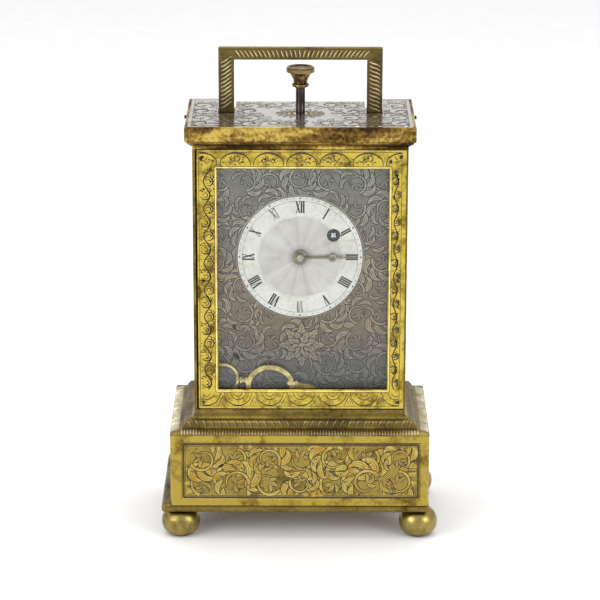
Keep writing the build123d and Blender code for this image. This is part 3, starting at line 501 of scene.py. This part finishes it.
def engrave_door(body, side, distance, frame_box, window, materials, knob=None):
    """Arches along the head, scallops along the foot and winding leaves up the stiles of a door frame."""
    x0, z0, x1, z1 = frame_box
    a0, b0, a1, b1 = window
    art = Art(facing(side, distance), line=0.13)
    chance = random.Random(11)

    def far_from_knob(place, distance):
        return knob is None or math.dist(place, knob) > distance

    def clear_of_knob(area):
        return lambda x, z: area(x, z) and far_from_knob((x, z), 2.2)

    art.frame_line(x0 + 1.0, z0 + 0.8, x1 - 1.5, z1 - 0.7, 0.09)
    art.frame_line(a0 - 0.9, b0 - 0.9, a1 + 0.9, b1 + 0.9, 0.09)
    # A bright line round the window in the bezel's gilt: a painted highlight on the window's edge.
    art.frame_line(a0 - 0.55, b0 - 0.55, a1 + 0.55, b1 + 0.55, 0.2, "shine")
    middle = (x0 + x1) / 2 + 0.2
    art.keep = inside(x0 + 1.2, b1 + 0.95, x1 - 1.7, z1 - 0.9)
    for k in range(-3, 4):
        arch_filling(art, (middle + k * 11.0, b1 + 1.0), 5.0, z1 - b1 - 1.9, chance)
    art.keep = inside(x0 + 1.2, z0 + 1.0, x1 - 1.7, b0 - 0.95)
    for k in range(-3, 4):
        fan_filling(art, (middle + k * 10.7, b0 - 1.0), 4.7, z0 + 1.0)
    for low, high, hand in ((x0 + 1.2, a0 - 0.95, 1), (a1 + 0.95, x1 - 1.7, -1)):
        art.keep = clear_of_knob(inside(low, b0 - 0.4, high, b1 + 0.4))
        stile_filling(art, low, high, b0, b1, hand, chance)
    art.keep = clear_of_knob(lambda x, z: not (a0 - 0.9 < x < a1 + 0.9 and b0 - 0.9 < z < b1 + 0.9))
    for _ in range(620):
        fleck = (chance.uniform(x0 + 1.6, x1 - 1.9), chance.uniform(z0 + 1.6, z1 - 1.6))
        turn = chance.uniform(0, TAU)
        if art.keep(*fleck):
            art.stroke([fleck, around(fleck, 0.5, turn), around(fleck, 0.9, turn + 0.7)], 0.13)
    art.keep = None
    rivets = [(x0 + 1.7, z1 - 2.9), (x1 - 1.8, z1 - 2.2), (x0 + 2.0, z0 + 2.2), (x1 - 2.0, z0 + 2.2),
              (x0 + 2.3, (z0 + z1) / 2), (x1 - 2.3, (z0 + z1) / 2),
              (a1 + 0.4, b1 + 2.6), (a1 + 2.4, b1 - 2.0)]
    for place in rivets:
        if far_from_knob(place, 3):
            art.dot(place, 0.62)
    art.piece(body + "_engraving", "ink", materials["line_ink"], body=body)
    art.piece(body + "_window_edge_highlight", "shine", materials["bezel_gilt"], body=body)


def arch_filling(art, foot, half, height, chance):
    """A round-headed arch with a leaf spray, a bud at its foot and pricked ground."""
    x, y = foot
    outline = []
    for i in range(19):
        a = math.pi * (1.06 - 1.12 * i / 18)
        outline.append((x + half * math.cos(a), y + height * (0.1 + 0.88 * max(-0.1, math.sin(a)) ** 0.9
                                                         if math.sin(a) > 0 else 0.02)))
    art.stroke(outline, 0.26)
    art.circle((x, y + 0.2), half * 0.34, 0.14, 0, math.pi, 8)
    art.dot((x, y + 0.5), 0.28)
    for turn, reach in ((0.6, 0.62), (1.05, 0.78), (math.pi / 2, 0.8), (2.1, 0.78), (2.55, 0.62)):
        start = around((x, y + 0.2), half * 0.36, turn)
        tip = (x + half * reach * math.cos(turn), y + height * reach * 0.98 * math.sin(turn))
        bend = ((start[0] + tip[0]) / 2 + 0.3 * math.sin(turn * 3), (start[1] + tip[1]) / 2)
        art.stroke([start, bend, tip], 0.19)
    for _ in range(12):
        a = chance.uniform(0.35, 2.8)
        r = chance.uniform(0.5, 0.86)
        art.dot((x + half * r * math.cos(a), y + height * r * math.sin(a)), chance.uniform(0.16, 0.34))
    spandrel = x + half * 1.08
    for k in (-1, 0, 1):
        tip = (spandrel + k * 0.8, y + height * (0.75 - 0.1 * abs(k)))
        art.stroke([(spandrel, y + height * 0.28), tip], 0.09)


def fan_filling(art, top, half, low):
    """A hanging scallop with an eye, and a small ribbed fan beside it."""
    x, y = top
    depth = y - low
    art.circle((x, y), half, 0.2, math.pi, math.pi, 14)
    art.circle((x, y), half * 0.55, 0.15, math.pi, math.pi, 10)
    art.circle((x, y), half * 0.3, 0.13, math.pi, math.pi, 8)
    for k in range(5):
        a = math.pi * (1.12 + 0.19 * k)
        art.stroke([around(top, half * 0.6, a), around(top, half * 0.93, a)], 0.13)
    side = x + half * 1.19
    art.stroke([(side - 1.6, low), (side - 0.9, low + depth * 0.36), (side, low + depth * 0.72)], 0.16)
    art.stroke([(side + 1.6, low), (side + 0.9, low + depth * 0.36), (side, low + depth * 0.72)], 0.16)
    for k in range(-2, 3):
        art.stroke([(side + k * 0.42, low), (side + k * 0.2, low + depth * (0.45 - 0.06 * abs(k)))], 0.1)


def stile_filling(art, low, high, z0, z1, hand, chance):
    """A winding stem with half leaves to both sides, on a pricked ground."""
    middle, half = (low + high) / 2, (high - low) / 2
    wave = 9.4
    count = int((z1 - z0) / 0.6)
    stem = []
    for i in range(count + 1):
        z = z0 + (z1 - z0) * i / count
        stem.append((middle + hand * half * 0.45 * math.sin(TAU * (z - z0) / wave), z))
    art.stroke(stem, 0.2, taper=False)
    turns = int((z1 - z0) / wave * 2)
    for k in range(turns):
        z = z0 + (k + 0.5) * wave / 2
        side = hand * (1 if k % 2 else -1)
        x = middle + side * half * 0.2
        art.circle((x, z), half * 0.62, 0.24, -1.9 if side > 0 else 1.25, side * 4.2, 12)
        art.circle((x, z), half * 0.3, 0.18, -1.2 if side > 0 else 1.9, side * 4.4, 9)
        for j in range(4):
            a = (0.2 + 0.55 * j) if side > 0 else math.pi - (0.2 + 0.55 * j)
            reaches = ((0.66, 0.8), (0.95, 0.6), (1.1, 0.2))
            art.stroke([around((x, z), half * reach, a - back) for reach, back in reaches], 0.22)
    for _ in range(int((z1 - z0) * 2.4)):
        art.dot((chance.uniform(low, high), chance.uniform(z0, z1)), chance.uniform(0.1, 0.26))


def engrave_mask(materials):
    """Plume scrolls over the whole mask, a rosette under the dial and a ring of painted shade round the
    winding hole.
    """
    low, high = span("mask_plate")
    sheet = inside(low.x + 1.1, low.z + 1.1, high.x - 1.1, high.z - 1.1)

    def area(x, z):
        return sheet(x, z) and math.dist((x, z), WINDING) > 2.3

    art = Art(facing("front", -low.y), area, line=0.15)
    chance = random.Random(3)
    for row in range(9):
        for column in range(7):
            centre = (low.x + 4.5 + 9.4 * column + chance.uniform(-1, 1),
                      low.z + 4.2 + 9.2 * row + chance.uniform(-1, 1))
            if math.dist(centre, HUB) < 18:
                continue
            hand = 1 if (row + column) % 2 else -1
            size, start = chance.uniform(5.0, 5.9), chance.uniform(0, TAU)
            art.plume_scroll(centre, size, start, hand, 6, (row + column) % 2)
    rosette(art, (0.6, 66.6), 8.2)
    art.piece("mask_leaves", "leaf", materials["mask_leaf"])
    art.piece("mask_lines", "ink", materials["mask_ink"])
    # A dark ring round the winding hole: painted shade, where the hole goes dark.
    shade_ring = Art(facing("front", -low.y))
    shade_ring.circle(WINDING, 1.85, 0.36, count=30)
    shade_ring.piece("winding_hole_shade", "ink", materials["dial_ink"])


def rosette(art, centre, radius):
    """Two rings of leaves round a small boss."""
    art.height = BASE_HEIGHT + LEVEL_HEIGHT * 3
    count = 8
    for shift, length, width, lobes in ((0, 1.0, 0.27, 3), (0.5, 0.62, 0.2, 2)):
        for k in range(count):
            a = TAU * (k + shift) / count + math.pi / 2
            art.leaf(around(centre, radius * 0.1, a), a, radius * length * 0.9, radius * width, 0.0, lobes)
    art.boss(centre, radius * 0.13, radius * 0.13, radius * 0.05)


def engrave_top(materials):
    """Fine scrolls over the top plate, round the plunger's medallion and clear of the handle's slots."""
    low, high = span("top_plate")
    stem_low, stem_high = span("repeat_stem")
    stem = (0.0, (stem_low.y + stem_high.y) / 2)
    sheet = inside(low.x + 1.0, low.y + 1.0, high.x - 1.0, high.y - 1.0)
    handle_side = span("handle")[1].x
    slot_inner, slot_outer = handle_side - HANDLE_LEG - 0.5, handle_side + 0.6
    slot_front, notch_front = -0.8, 16.9

    def keep(x, y):
        in_slot = slot_inner <= abs(x) <= slot_outer and y > slot_front
        in_notch = abs(x) < slot_outer and y > notch_front
        return sheet(x, y) and not in_slot and not in_notch and math.dist((x, y), stem) > 2.0

    art = Art(lying(0, 0, high.z), keep, line=0.15)
    art.frame_line(low.x + 1.2, low.y + 1.2, high.x - 1.2, high.y - 1.2, 0.09)
    for x in (-33.0, -24.5, -17.0, 17.0, 24.5, 33.0):
        for y, hand in ((-15.5, 1), (-7.5, -1), (2.5, 1), (11.0, -1)):
            flip = hand if x > 0 else -hand
            start = math.radians(90 * flip + 20 * y)
            art.scroll((x + 0.4 * hand, y), 4.2, start, flip, (hand + 1) // 2)
    for x in (-9.5, 0.0, 9.5):
        for y in (-15.5, 12.5):
            art.scroll((x, y), 4.0, math.radians(40 + 9 * x + 7 * y), 1 if x > 0 else -1)
    art.height = BASE_HEIGHT
    for k in range(18):
        a = TAU * k / 18
        art.leaf((stem[0] + 4.4 * math.cos(a), stem[1] + 3.4 * math.sin(a)), a, 4.0, 0.6, 0.5, 2, 1)
    for radius in (2.9, 3.3):
        art.circle(stem, radius, 0.1)
    stain = Art(lying(0, 0, high.z), keep)
    stain.height = 0.004
    across = [-0.98 + 1.96 * i / 16 for i in range(17)]
    stain.ribbon("leaf", [(stem[0] + 8.5 * a, stem[1] + 0.3) for a in across],
                 [3.6 * math.sqrt(1 - a * a) for a in across])
    stain.piece("top_stain", "leaf", materials["stain_gilt"])
    art.piece("top_leaves", "leaf", materials["top_leaf"])
    art.piece("top_lines", "ink", materials["top_ink"])


def engrave_panel(name, side, distance, area, radius, materials, seed):
    """A hatched ground, rows of scrolls of alternate hand and loose flecks over a rectangular area."""
    x0, z0, x1, z1 = area
    art = Art(facing(side, distance), inside(*area), line=0.14)
    chance = random.Random(seed)
    art.height = BASE_HEIGHT - 0.009
    for k in range(int((x1 - x0 + z1 - z0) / 0.8)):
        u = x0 + k * 0.8
        art.stroke([(u, z0), (u - (z1 - z0), z1)], 0.09, taper=False)
    across = max(1, round((x1 - x0) / (radius * 1.25)))
    up = max(1, round((z1 - z0) / (radius * 1.25)))
    for row in range(up):
        for column in range(across):
            hand = 1 if (row + column) % 2 else -1
            centre = (x0 + (column + 0.5) * (x1 - x0) / across, z0 + (row + 0.5) * (z1 - z0) / up)
            size, start = radius * chance.uniform(0.55, 0.72), chance.uniform(0, TAU)
            art.plume_scroll(centre, size * 1.25, start, hand, 7, (row + column) % 2)
    art.height = BASE_HEIGHT + LEVEL_HEIGHT * 2
    for _ in range(int((x1 - x0) * (z1 - z0) / 9)):
        fleck, turn = (chance.uniform(x0, x1), chance.uniform(z0, z1)), chance.uniform(0, TAU)
        art.stroke([fleck, around(fleck, 0.8, turn), around(fleck, 1.5, turn + 0.5)], 0.17)
    art.piece(name + "_leaves", "leaf", materials["gilt_leaf"])
    art.piece(name + "_lines", "ink", materials["fine_ink"])


def engrave_plinth(materials):
    """Scrolls in the plinth's sunk panels, and a thick and a thin line round each."""
    low, high = span("plinth")
    sunk, foot, head = 0.5, 14.5, 35.4
    for side, distance, left, right in (("front", -low.y, -40.4, 41.2), ("back", high.y, -41.2, 40.4),
                                        ("left", -low.x, -22.5, 22.5), ("right", high.x, -22.5, 22.5)):
        area = (left + 1.9, foot + 1.9, right - 1.9, head - 1.9)
        engrave_panel("plinth_" + side, side, distance - sunk, area, 8.4, materials, 5)
        border = Art(facing(side, distance - sunk))
        for inset, width in ((0.9, 0.32), (1.55, 0.11)):
            border.frame_line(left + inset, foot + inset, right - inset, head - inset, width)
        border.piece("plinth_border_" + side, "ink", materials["line_ink"])


def engrave_sides(materials):
    """A ruled border and large scrolls on the two side walls."""
    for name, side in (("left_side_panel", "left"), ("right_side_panel", "right")):
        low, high = span(name)
        distance = high.x if side == "right" else -low.x
        engrave_panel("wall_" + side, side, distance, (-15.0, low.z + 5, 15.0, high.z - 5), 7.4, materials, 9)
        border = Art(facing(side, distance))
        for half, inset in ((17.0, 2.5), (16.2, 3.3)):
            border.frame_line(-half, low.z + inset, half, high.z - inset, 0.06)
        border.piece("wall_border_" + side, "ink", materials["fine_ink"])


def engrave_handle(materials):
    """Slanting cuts between ruled edges on the front and back of the legs and the bar, with painted
    highlights beside them.
    """
    low, high = span("handle")
    foot, half_thickness = 145.2, 0.8
    middle = (low.y + high.y) / 2
    for side, distance in (("front", half_thickness - middle), ("back", half_thickness + middle)):
        art = Art(facing(side, distance), line=0.1)
        inner_top = high.z - HANDLE_BAR
        for direction in (-1, 1):
            outer, inner = direction * high.x, direction * (high.x - HANDLE_LEG)
            centre = (outer + inner) / 2
            for x in (outer - direction * 0.7, inner + direction * 0.6):
                art.stroke([(x, foot), (x, inner_top)], 0.1, taper=False)
            for k in range(12):
                z = foot + 0.3 + k * (inner_top - foot) / 12
                slant(art, (centre, z), 1.8, 1.3, 1 if direction < 0 else -1)
        for z in (high.z - 0.65, inner_top + 0.55):
            art.stroke([(-high.x + 0.8, z), (0, z), (high.x - 0.8, z)], 0.09, taper=False)
        for k in range(30):
            x = -high.x + HANDLE_LEG + (k + 0.5) * 2 * (high.x - HANDLE_LEG) / 30
            lean = (x / high.x) * 0.9 + (0.35 if x > 0 else -0.2)
            points = [(x - lean, inner_top + 0.9), (x - lean * 0.1, inner_top + HANDLE_BAR * 0.5),
                      (x + lean, high.z - 1.0)]
            art.stroke(points, 0.26)
            art.stroke([(px + 0.52, pz) for px, pz in points], 0.19, "shine")
        for direction in (-1, 1):
            for k in range(5):
                a = k * math.pi / 8
                x, z = direction * (high.x - 0.9), inner_top + 0.3
                art.stroke([(x - direction * 1.0 * math.cos(a), z + 1.0 * math.sin(a)),
                            (x - direction * 3.3 * math.cos(a), z + 3.3 * math.sin(a))], 0.12)
        art.piece("handle_cuts_" + side, "ink", materials["line_ink"], body="carrying_handle")
        art.piece("handle_glints_" + side, "shine", materials["gilt_glint"], body="carrying_handle")


def slant(art, centre, half, rise, hand):
    """One curved slanting cut, with a painted highlight along its edge."""
    x, z = centre
    points = [(x - half, z - rise * 0.2 * hand - 0.3), (x - half * 0.3, z + rise * 0.25 * hand - 0.35),
              (x + half * 0.4, z + rise * 0.75 * hand), (x + half, z + rise * 1.3 * hand)]
    art.stroke(points, 0.27)
    art.stroke([(px, pz + 0.55) for px, pz in points], 0.2, "shine")


# Strips of the moulding: foot and top as share of its width and height over its base, and how far they swell.
MOULDING_BAND = ((0.0, 0.3), (0.39, 1.3), 0.15)
MOULDING_TORUS = ((0.50, 1.5), (0.845, 4.1), 0.7)


def moulding_face(side, out, run, base, line):
    """A curved strip of the moulding: u along it, v from 0 at its foot to 1 at its top, h above it."""
    (share_a, z_a), (share_b, z_b), bulge = line
    rise, depth = z_b - z_a, (share_b - share_a) * run
    chord = math.hypot(rise, depth)
    normal = (rise / chord, depth / chord)
    arc_radius = (chord * chord / 4 + bulge * bulge) / (2 * bulge)

    def surface(u, v, h):
        swell = math.sqrt(arc_radius ** 2 - ((v - 0.5) * chord) ** 2) - (arc_radius - bulge) + h
        outward = out - run * share_a - depth * v + swell * normal[0]
        return facing(side, outward)(u, base + z_a + rise * v + swell * normal[1], 0)

    return surface


def engrave_moulding(materials):
    """Slanting leaves on the torus, with painted highlights beside them, and short flutes on the band below
    it, on all four sides.
    """
    low, high = span("plinth_moulding")
    reach = (high.x - span("right_side_panel")[1].x, high.y + span("front_door_frame")[0].y)
    vertices, faces = [], []
    for side in ALL_ROUND:
        across = side in ("front", "back")
        along, out = (high.x, high.y) if across else (high.y, high.x)
        along_run, run = reach if across else reach[::-1]
        torus = moulding_face(side, out, run, low.z, MOULDING_TORUS)
        band = moulding_face(side, out, run, low.z, MOULDING_BAND)

        def keep(u, v, along=along, along_run=along_run):
            return 0.02 <= v <= 0.98 and abs(u) <= along - (0.52 + 0.345 * v) * along_run

        art = Art(torus, keep, line=0.09, longest=0.06)
        art.height = 0.03
        end = along - 0.5 * along_run
        count = int(end * 2 / 2.5)
        for k in range(count + 1):
            u = -end + k * 2 * end / count
            lean = 0.75 if u > 0 else -0.75
            cut = ((-1, 0.1), (-0.6, 0.4), (0.2, 0.68), (1, 0.9))
            art.stroke([(u + lean * share, v) for share, v in cut], 0.14)
            art.stroke([(u - lean * 0.4, 0.2), (u + lean * 0.5, 0.6), (u + lean * 1.3, 0.85)], 0.08, "shine")
            art.stroke([(u + 0.9, 0.12), (u + 0.6, 0.5)], 0.08)
        art.piece("moulding_cuts_" + side, "ink", materials["fine_ink"])
        art.piece("moulding_glints_" + side, "shine", materials["leaf_glint"])
        flutes(vertices, faces, band, along - 0.42 * along_run)
    mesh_piece("moulding_flutes", "case", vertices, faces, materials["flute_silver"])


def flutes(vertices, faces, band, end):
    """Small raised ribs across the sloping band at the moulding's foot."""
    section = ((-0.3, -0.08), (-0.17, 0.14), (0.17, 0.14), (0.3, -0.08))
    stations = (0.06, 0.28, 0.5, 0.72, 0.94)
    count = int(2 * end)
    for k in range(count):
        u = -end + (k + 0.5) * 2 * end / count
        first = len(vertices)
        vertices += [band(u + across, v, lift) for v in stations for across, lift in section]
        last = len(vertices) - 4
        for i in range(first, last, 4):
            faces += [(i + a, i + b, i + b + 4, i + a + 4) for a, b in ((0, 1), (1, 2), (2, 3), (3, 0))]
        faces += [(first + 3, first + 2, first + 1, first), (last, last + 1, last + 2, last + 3)]


def groove_hub(materials):
    """A turned groove on the minute hand's hub."""
    art = Art(facing("front", -span("minute_hand")[0].y))
    art.circle(HUB, 1.42, 0.1, count=32)
    art.piece("hub_grooves", "ink", materials["line_ink"], body="minute_hand_group")


ROMAN = ("XII", "I", "II", "III", "IIII", "V", "VI", "VII", "VIII", "IX", "X", "XI")
GLYPH_WIDTH = {"I": 0.74, "V": 1.5, "X": 1.6}


def print_dial(materials):
    """Radial Roman hours, two of them worn, minute dots, ruled circles and the centre's scalloped edge."""
    low, high = span("dial")
    radius = (high.x - low.x) / 2
    centre = ((low.x + high.x) / 2, (low.z + high.z) / 2)
    art = Art(facing("front", -low.y, centre[1], centre[0]))
    winding = (WINDING[0] - centre[0], WINDING[1] - centre[1])
    art.keep = lambda x, y: math.dist((x, y), winding) > 2.35
    art.circle((0, 0), radius * 0.905, 0.045, count=90)
    art.circle((0, 0), radius - 0.35, 0.13, count=90)
    scallops = []
    for i in range(121):
        a = TAU * i / 120
        r = radius * (0.645 + 0.035 * abs(math.sin(6 * a)))
        scallops.append((r * math.sin(a), r * math.cos(a)))
    art.stroke(scallops, 0.03, "leaf", taper=False)
    for minute in range(60):
        a = TAU * minute / 60
        art.dot((radius * 0.95 * math.sin(a), radius * 0.95 * math.cos(a)), 0.16 if minute % 5 else 0.3)
    for hour, word in enumerate(ROMAN):
        layer = "leaf" if hour in (6, 11) else "ink"
        numeral(art, word, TAU * hour / 12, radius * 0.72, radius * 0.895, layer)
    art.piece("dial_printing", "ink", materials["dial_ink"])
    art.piece("dial_worn_printing", "leaf", materials["worn_ink"])


def numeral(art, word, turn, inner, outer, layer):
    """One numeral, upright when read from the centre outwards."""
    width = sum(GLYPH_WIDTH[c] for c in word)
    x = -width / 2
    bold, hair = 0.28, 0.12

    def put(points, half):
        turned = [(px * math.cos(turn) + py * math.sin(turn), -px * math.sin(turn) + py * math.cos(turn))
                  for px, py in points]
        art.stroke(turned, half, layer, taper=False)

    for letter in word:
        step = GLYPH_WIDTH[letter]
        left, right, middle = x + 0.1, x + step - 0.1, x + step / 2
        if letter == "I":
            put([(middle, inner + 0.05), (middle, outer - 0.05)], bold)
            put([(middle - 0.33, inner), (middle + 0.33, inner)], hair)
            put([(middle - 0.33, outer), (middle + 0.33, outer)], hair)
        if letter == "V":
            put([(left + 0.2, outer), (middle, inner)], bold)
            put([(right, outer), (middle, inner)], hair)
            put([(left - 0.1, outer), (left + 0.5, outer)], hair)
            put([(right - 0.25, outer), (right + 0.2, outer)], hair)
        if letter == "X":
            put([(left + 0.2, outer), (right - 0.2, inner)], bold)
            put([(right - 0.1, outer), (left + 0.1, inner)], hair)
            for end in (inner, outer):
                put([(left - 0.1, end), (left + 0.45, end)], hair)
                put([(right - 0.45, end), (right + 0.1, end)], hair)
        x += step


# ---------------------------------------------------------------- the studio


def studio():
    """White table, soft sky, and three large soft lamps."""
    world = bpy.data.worlds.new("studio")
    bpy.context.scene.world = world
    world.use_nodes = True
    nodes, links = world.node_tree.nodes, world.node_tree.links
    sky = nodes["Background"]
    place = nodes.new("ShaderNodeTexCoord")
    split = nodes.new("ShaderNodeSeparateXYZ")
    ramp = nodes.new("ShaderNodeValToRGB")
    links.new(place.outputs["Generated"], split.inputs[0])
    links.new(split.outputs["Z"], ramp.inputs[0])
    links.new(ramp.outputs["Color"], sky.inputs["Color"])
    ramp.color_ramp.elements[0].color = (0.86, 0.86, 0.87, 1)
    ramp.color_ramp.elements[1].color = (0.98, 0.98, 0.99, 1)
    ramp.color_ramp.elements[1].position = 0.6
    sky.inputs["Strength"].default_value = 0.85
    reach = 3.0
    corners = [(-reach, -reach, 0), (reach, -reach, 0), (reach, reach, 0), (-reach, reach, 0)]
    mesh = bpy.data.meshes.new("table")
    mesh.from_pydata(corners, [], [(0, 1, 2, 3)])
    table = bpy.data.objects.new("table", mesh)
    bpy.context.scene.collection.objects.link(table)
    finish = Finish("table_white", Roughness=0.75)
    grain = finish.noise(60, 3)
    finish.drive("Base Color", finish.ramp(grain, (0.3, (0.9, 0.9, 0.9, 1)), (0.7, (0.93, 0.93, 0.93, 1))))
    table.data.materials.append(finish.material)
    lamp("key_left", (-0.8, -0.75, 0.55), 0.7, 6.0)
    lamp("key_right", (0.85, -0.7, 0.5), 0.6, 4.5)
    lamp("overhead", (0.0, 0.1, 1.25), 1.1, 6.0)


def lamp(name, place, size, power):
    light = bpy.data.lights.new(name, "AREA")
    light.size = size
    light.energy = power
    made = bpy.data.objects.new(name, light)
    made.location = place
    aim = Vector((0, 0, 0.08)) - Vector(place)
    made.rotation_euler = aim.to_track_quat("-Z", "Y").to_euler()
    bpy.context.scene.collection.objects.link(made)


def camera():
    """From in front, 17 degrees down, with a long lens."""
    data = bpy.data.cameras.new("camera")
    data.sensor_width = 36
    data.lens = 158.2
    made = bpy.data.objects.new("camera", data)
    drop = 17
    tilt = Matrix.Rotation(math.radians(90 - drop), 4, "X")
    roll = Matrix.Rotation(math.radians(0.13), 4, "Z")
    made.matrix_world = Matrix.Translation((0, -0.8665, 0.343)) @ tilt @ roll
    bpy.context.scene.collection.objects.link(made)
    bpy.context.scene.camera = made
    bpy.context.scene.view_settings.view_transform = "Standard"


# ---------------------------------------------------------------- finishes of the CAD pieces


# Colours are screen values from 0 to 255: bright, worn and dark, then the settings of aged_metal.
AGED_METALS = {
    "frame_gilt": ((198, 175, 74), (152, 131, 50), (72, 60, 26), {"patch": 160, "tarnish": (0.43, 0.62)}),
    "cornice_gilt": ((198, 172, 86), (128, 100, 50), (56, 40, 22),
                     {"patch": 95, "streak": (0.35, 0.6, 1.3), "tarnish": (0.5, 0.66)}),
    "plinth_gilt": ((172, 150, 68), (142, 120, 50), (80, 66, 30), {"patch": 110, "tarnish": (0.41, 0.6)}),
    "aged_gilt": ((134, 114, 58), (98, 82, 42), (48, 38, 20), {"patch": 90, "tarnish": (0.4, 0.64)}),
    "foot_gilt": ((158, 140, 80), (112, 96, 52), (54, 44, 24),
                  {"patch": 120, "roughness": (0.3, 0.46), "tarnish": (0.33, 0.58), "bump": 0.05}),
    "handle_gilt": ((112, 98, 54), (76, 64, 36), (40, 32, 18), {"patch": 130}),
    "gilt_leaf": ((188, 166, 84), (172, 134, 48), (112, 92, 42), {"patch": 160}),
    "top_silver": ((226, 223, 214), (196, 188, 170), (140, 118, 78),
                   {"patch": 80, "roughness": (0.14, 0.26), "tarnish": (0.34, 0.54),
                    "corners": 0.0006, "bump": 0.05}),
    "stain_gilt": ((206, 180, 110), (150, 124, 66), (84, 64, 34), {"patch": 220}),
    "dark_steel": ((78, 70, 66), (50, 43, 40), (28, 24, 22),
                   {"patch": 140, "roughness": (0.2, 0.36), "tarnish": (0.4, 0.62), "bump": 0.1}),
    "knob_bronze": ((134, 112, 68), (82, 62, 38), (44, 32, 22),
                    {"patch": 160, "roughness": (0.16, 0.3), "tarnish": (0.44, 0.64), "bump": 0.08}),
}

# Bright and dark, then roughness and, for some, the size of the grain.
PLAIN_METALS = {
    "gilt_glint": ((226, 212, 156), (186, 166, 104), 0.3),
    "leaf_glint": ((184, 168, 112), (142, 124, 74), 0.3),
    "flute_silver": ((206, 198, 172), (158, 148, 116), 0.3),
    "bezel_gilt": ((246, 230, 158), (216, 194, 112), 0.22),
    "top_leaf": ((236, 233, 226), (204, 198, 184), 0.22),
    "hand_brass": ((158, 153, 128), (118, 113, 88), 0.3),
    "key_brass": ((206, 190, 130), (140, 118, 62), 0.24),
    "movement_gilt": ((214, 178, 96), (184, 146, 70), 0.36, 500),
    "wheel_brass": ((220, 186, 100), (186, 150, 72), 0.24, 300),
    "steel": ((190, 192, 196), (150, 152, 158), 0.22, 500),
    "blue_steel": ((52, 60, 96), (34, 38, 62), 0.2, 300),
    "pin_steel": ((62, 56, 52), (36, 32, 30), 0.35),
}

# Dark and light.
INKS = {
    "top_ink": ((58, 48, 34), (108, 94, 70)),
    "mask_ink": ((26, 24, 22), (46, 41, 36)),
    "line_ink": ((30, 22, 12), (70, 52, 24)),
    "fine_ink": ((38, 30, 16), (74, 60, 30)),
    "dial_ink": ((22, 22, 24), (44, 44, 48)),
    "worn_ink": ((120, 120, 120), (190, 190, 188)),
}


def make_materials():
    made = {name: aged_metal(name, *tones, **settings) for name, (*tones, settings) in AGED_METALS.items()}
    made |= {name: plain_metal(name, *values) for name, values in PLAIN_METALS.items()}
    made |= {name: fill_ink(name, *tones) for name, tones in INKS.items()}
    made["mask_ground"] = mask_metal("mask_ground", 0)
    made["mask_leaf"] = mask_metal("mask_leaf", 1)
    made["glass"] = clear_glass()
    low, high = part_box("dial")
    centre = ((low.x + high.x) / 2, (low.z + high.z) / 2)
    made["dial_silver"] = dial_silver(centre, (high.x - low.x) / 2)
    return made


FINISH_OF = {
    "foot_gilt": ("foot_front_left", "foot_front_right", "foot_rear_left", "foot_rear_right"),
    "frame_gilt": ("front_door_frame", "rear_door_frame"),
    "cornice_gilt": ("cornice",),
    "plinth_gilt": ("plinth",),
    "aged_gilt": ("plinth_moulding", "bottom_plate", "left_side_panel", "right_side_panel"),
    "handle_gilt": ("handle", "rear_door_knob"),
    "bezel_gilt": ("front_glass_retainer", "rear_glass_retainer"),
    "top_silver": ("top_plate",),
    "mask_ground": ("mask_plate",),
    "dial_silver": ("dial",),
    "hand_brass": ("hour_hand", "minute_hand"),
    "key_brass": ("winding_key", "key_ring"),
    "movement_gilt": ("front_plate", "back_plate", "balance_cock", "movement_pillars", "mask_posts",
                      "gong_block", "repeat_sleeve"),
    "wheel_brass": ("barrel", "barrel_cap", "centre_wheel", "third_wheel", "fourth_wheel",
                    "hour_wheel", "minute_wheel", "balance_wheel"),
    "blue_steel": ("gong", "click_spring", "hairspring", "movement_screws", "mainspring"),
    "dark_steel": ("repeat_stem",),
    "knob_bronze": ("repeat_knob",),
    "pin_steel": ("handle_pivot_pins", "front_door_pins", "rear_door_pins", "case_screws"),
    "glass": ("front_glass", "rear_glass"),
}


def finish_nodes(materials):
    """Every CAD piece gets its finish; the ones that no finish names are steel."""
    chosen = {node: materials[name] for name, nodes in FINISH_OF.items() for node in nodes}
    for node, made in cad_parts.items():
        material = chosen.get(node, materials["steel"])
        made.data.materials.clear()
        made.data.materials.append(material)


camera()
studio()
materials = make_materials()
finish_nodes(materials)
engrave_doors(materials)
engrave_mask(materials)
engrave_top(materials)
engrave_plinth(materials)
engrave_sides(materials)
engrave_handle(materials)
engrave_moulding(materials)
print_dial(materials)
groove_hub(materials)
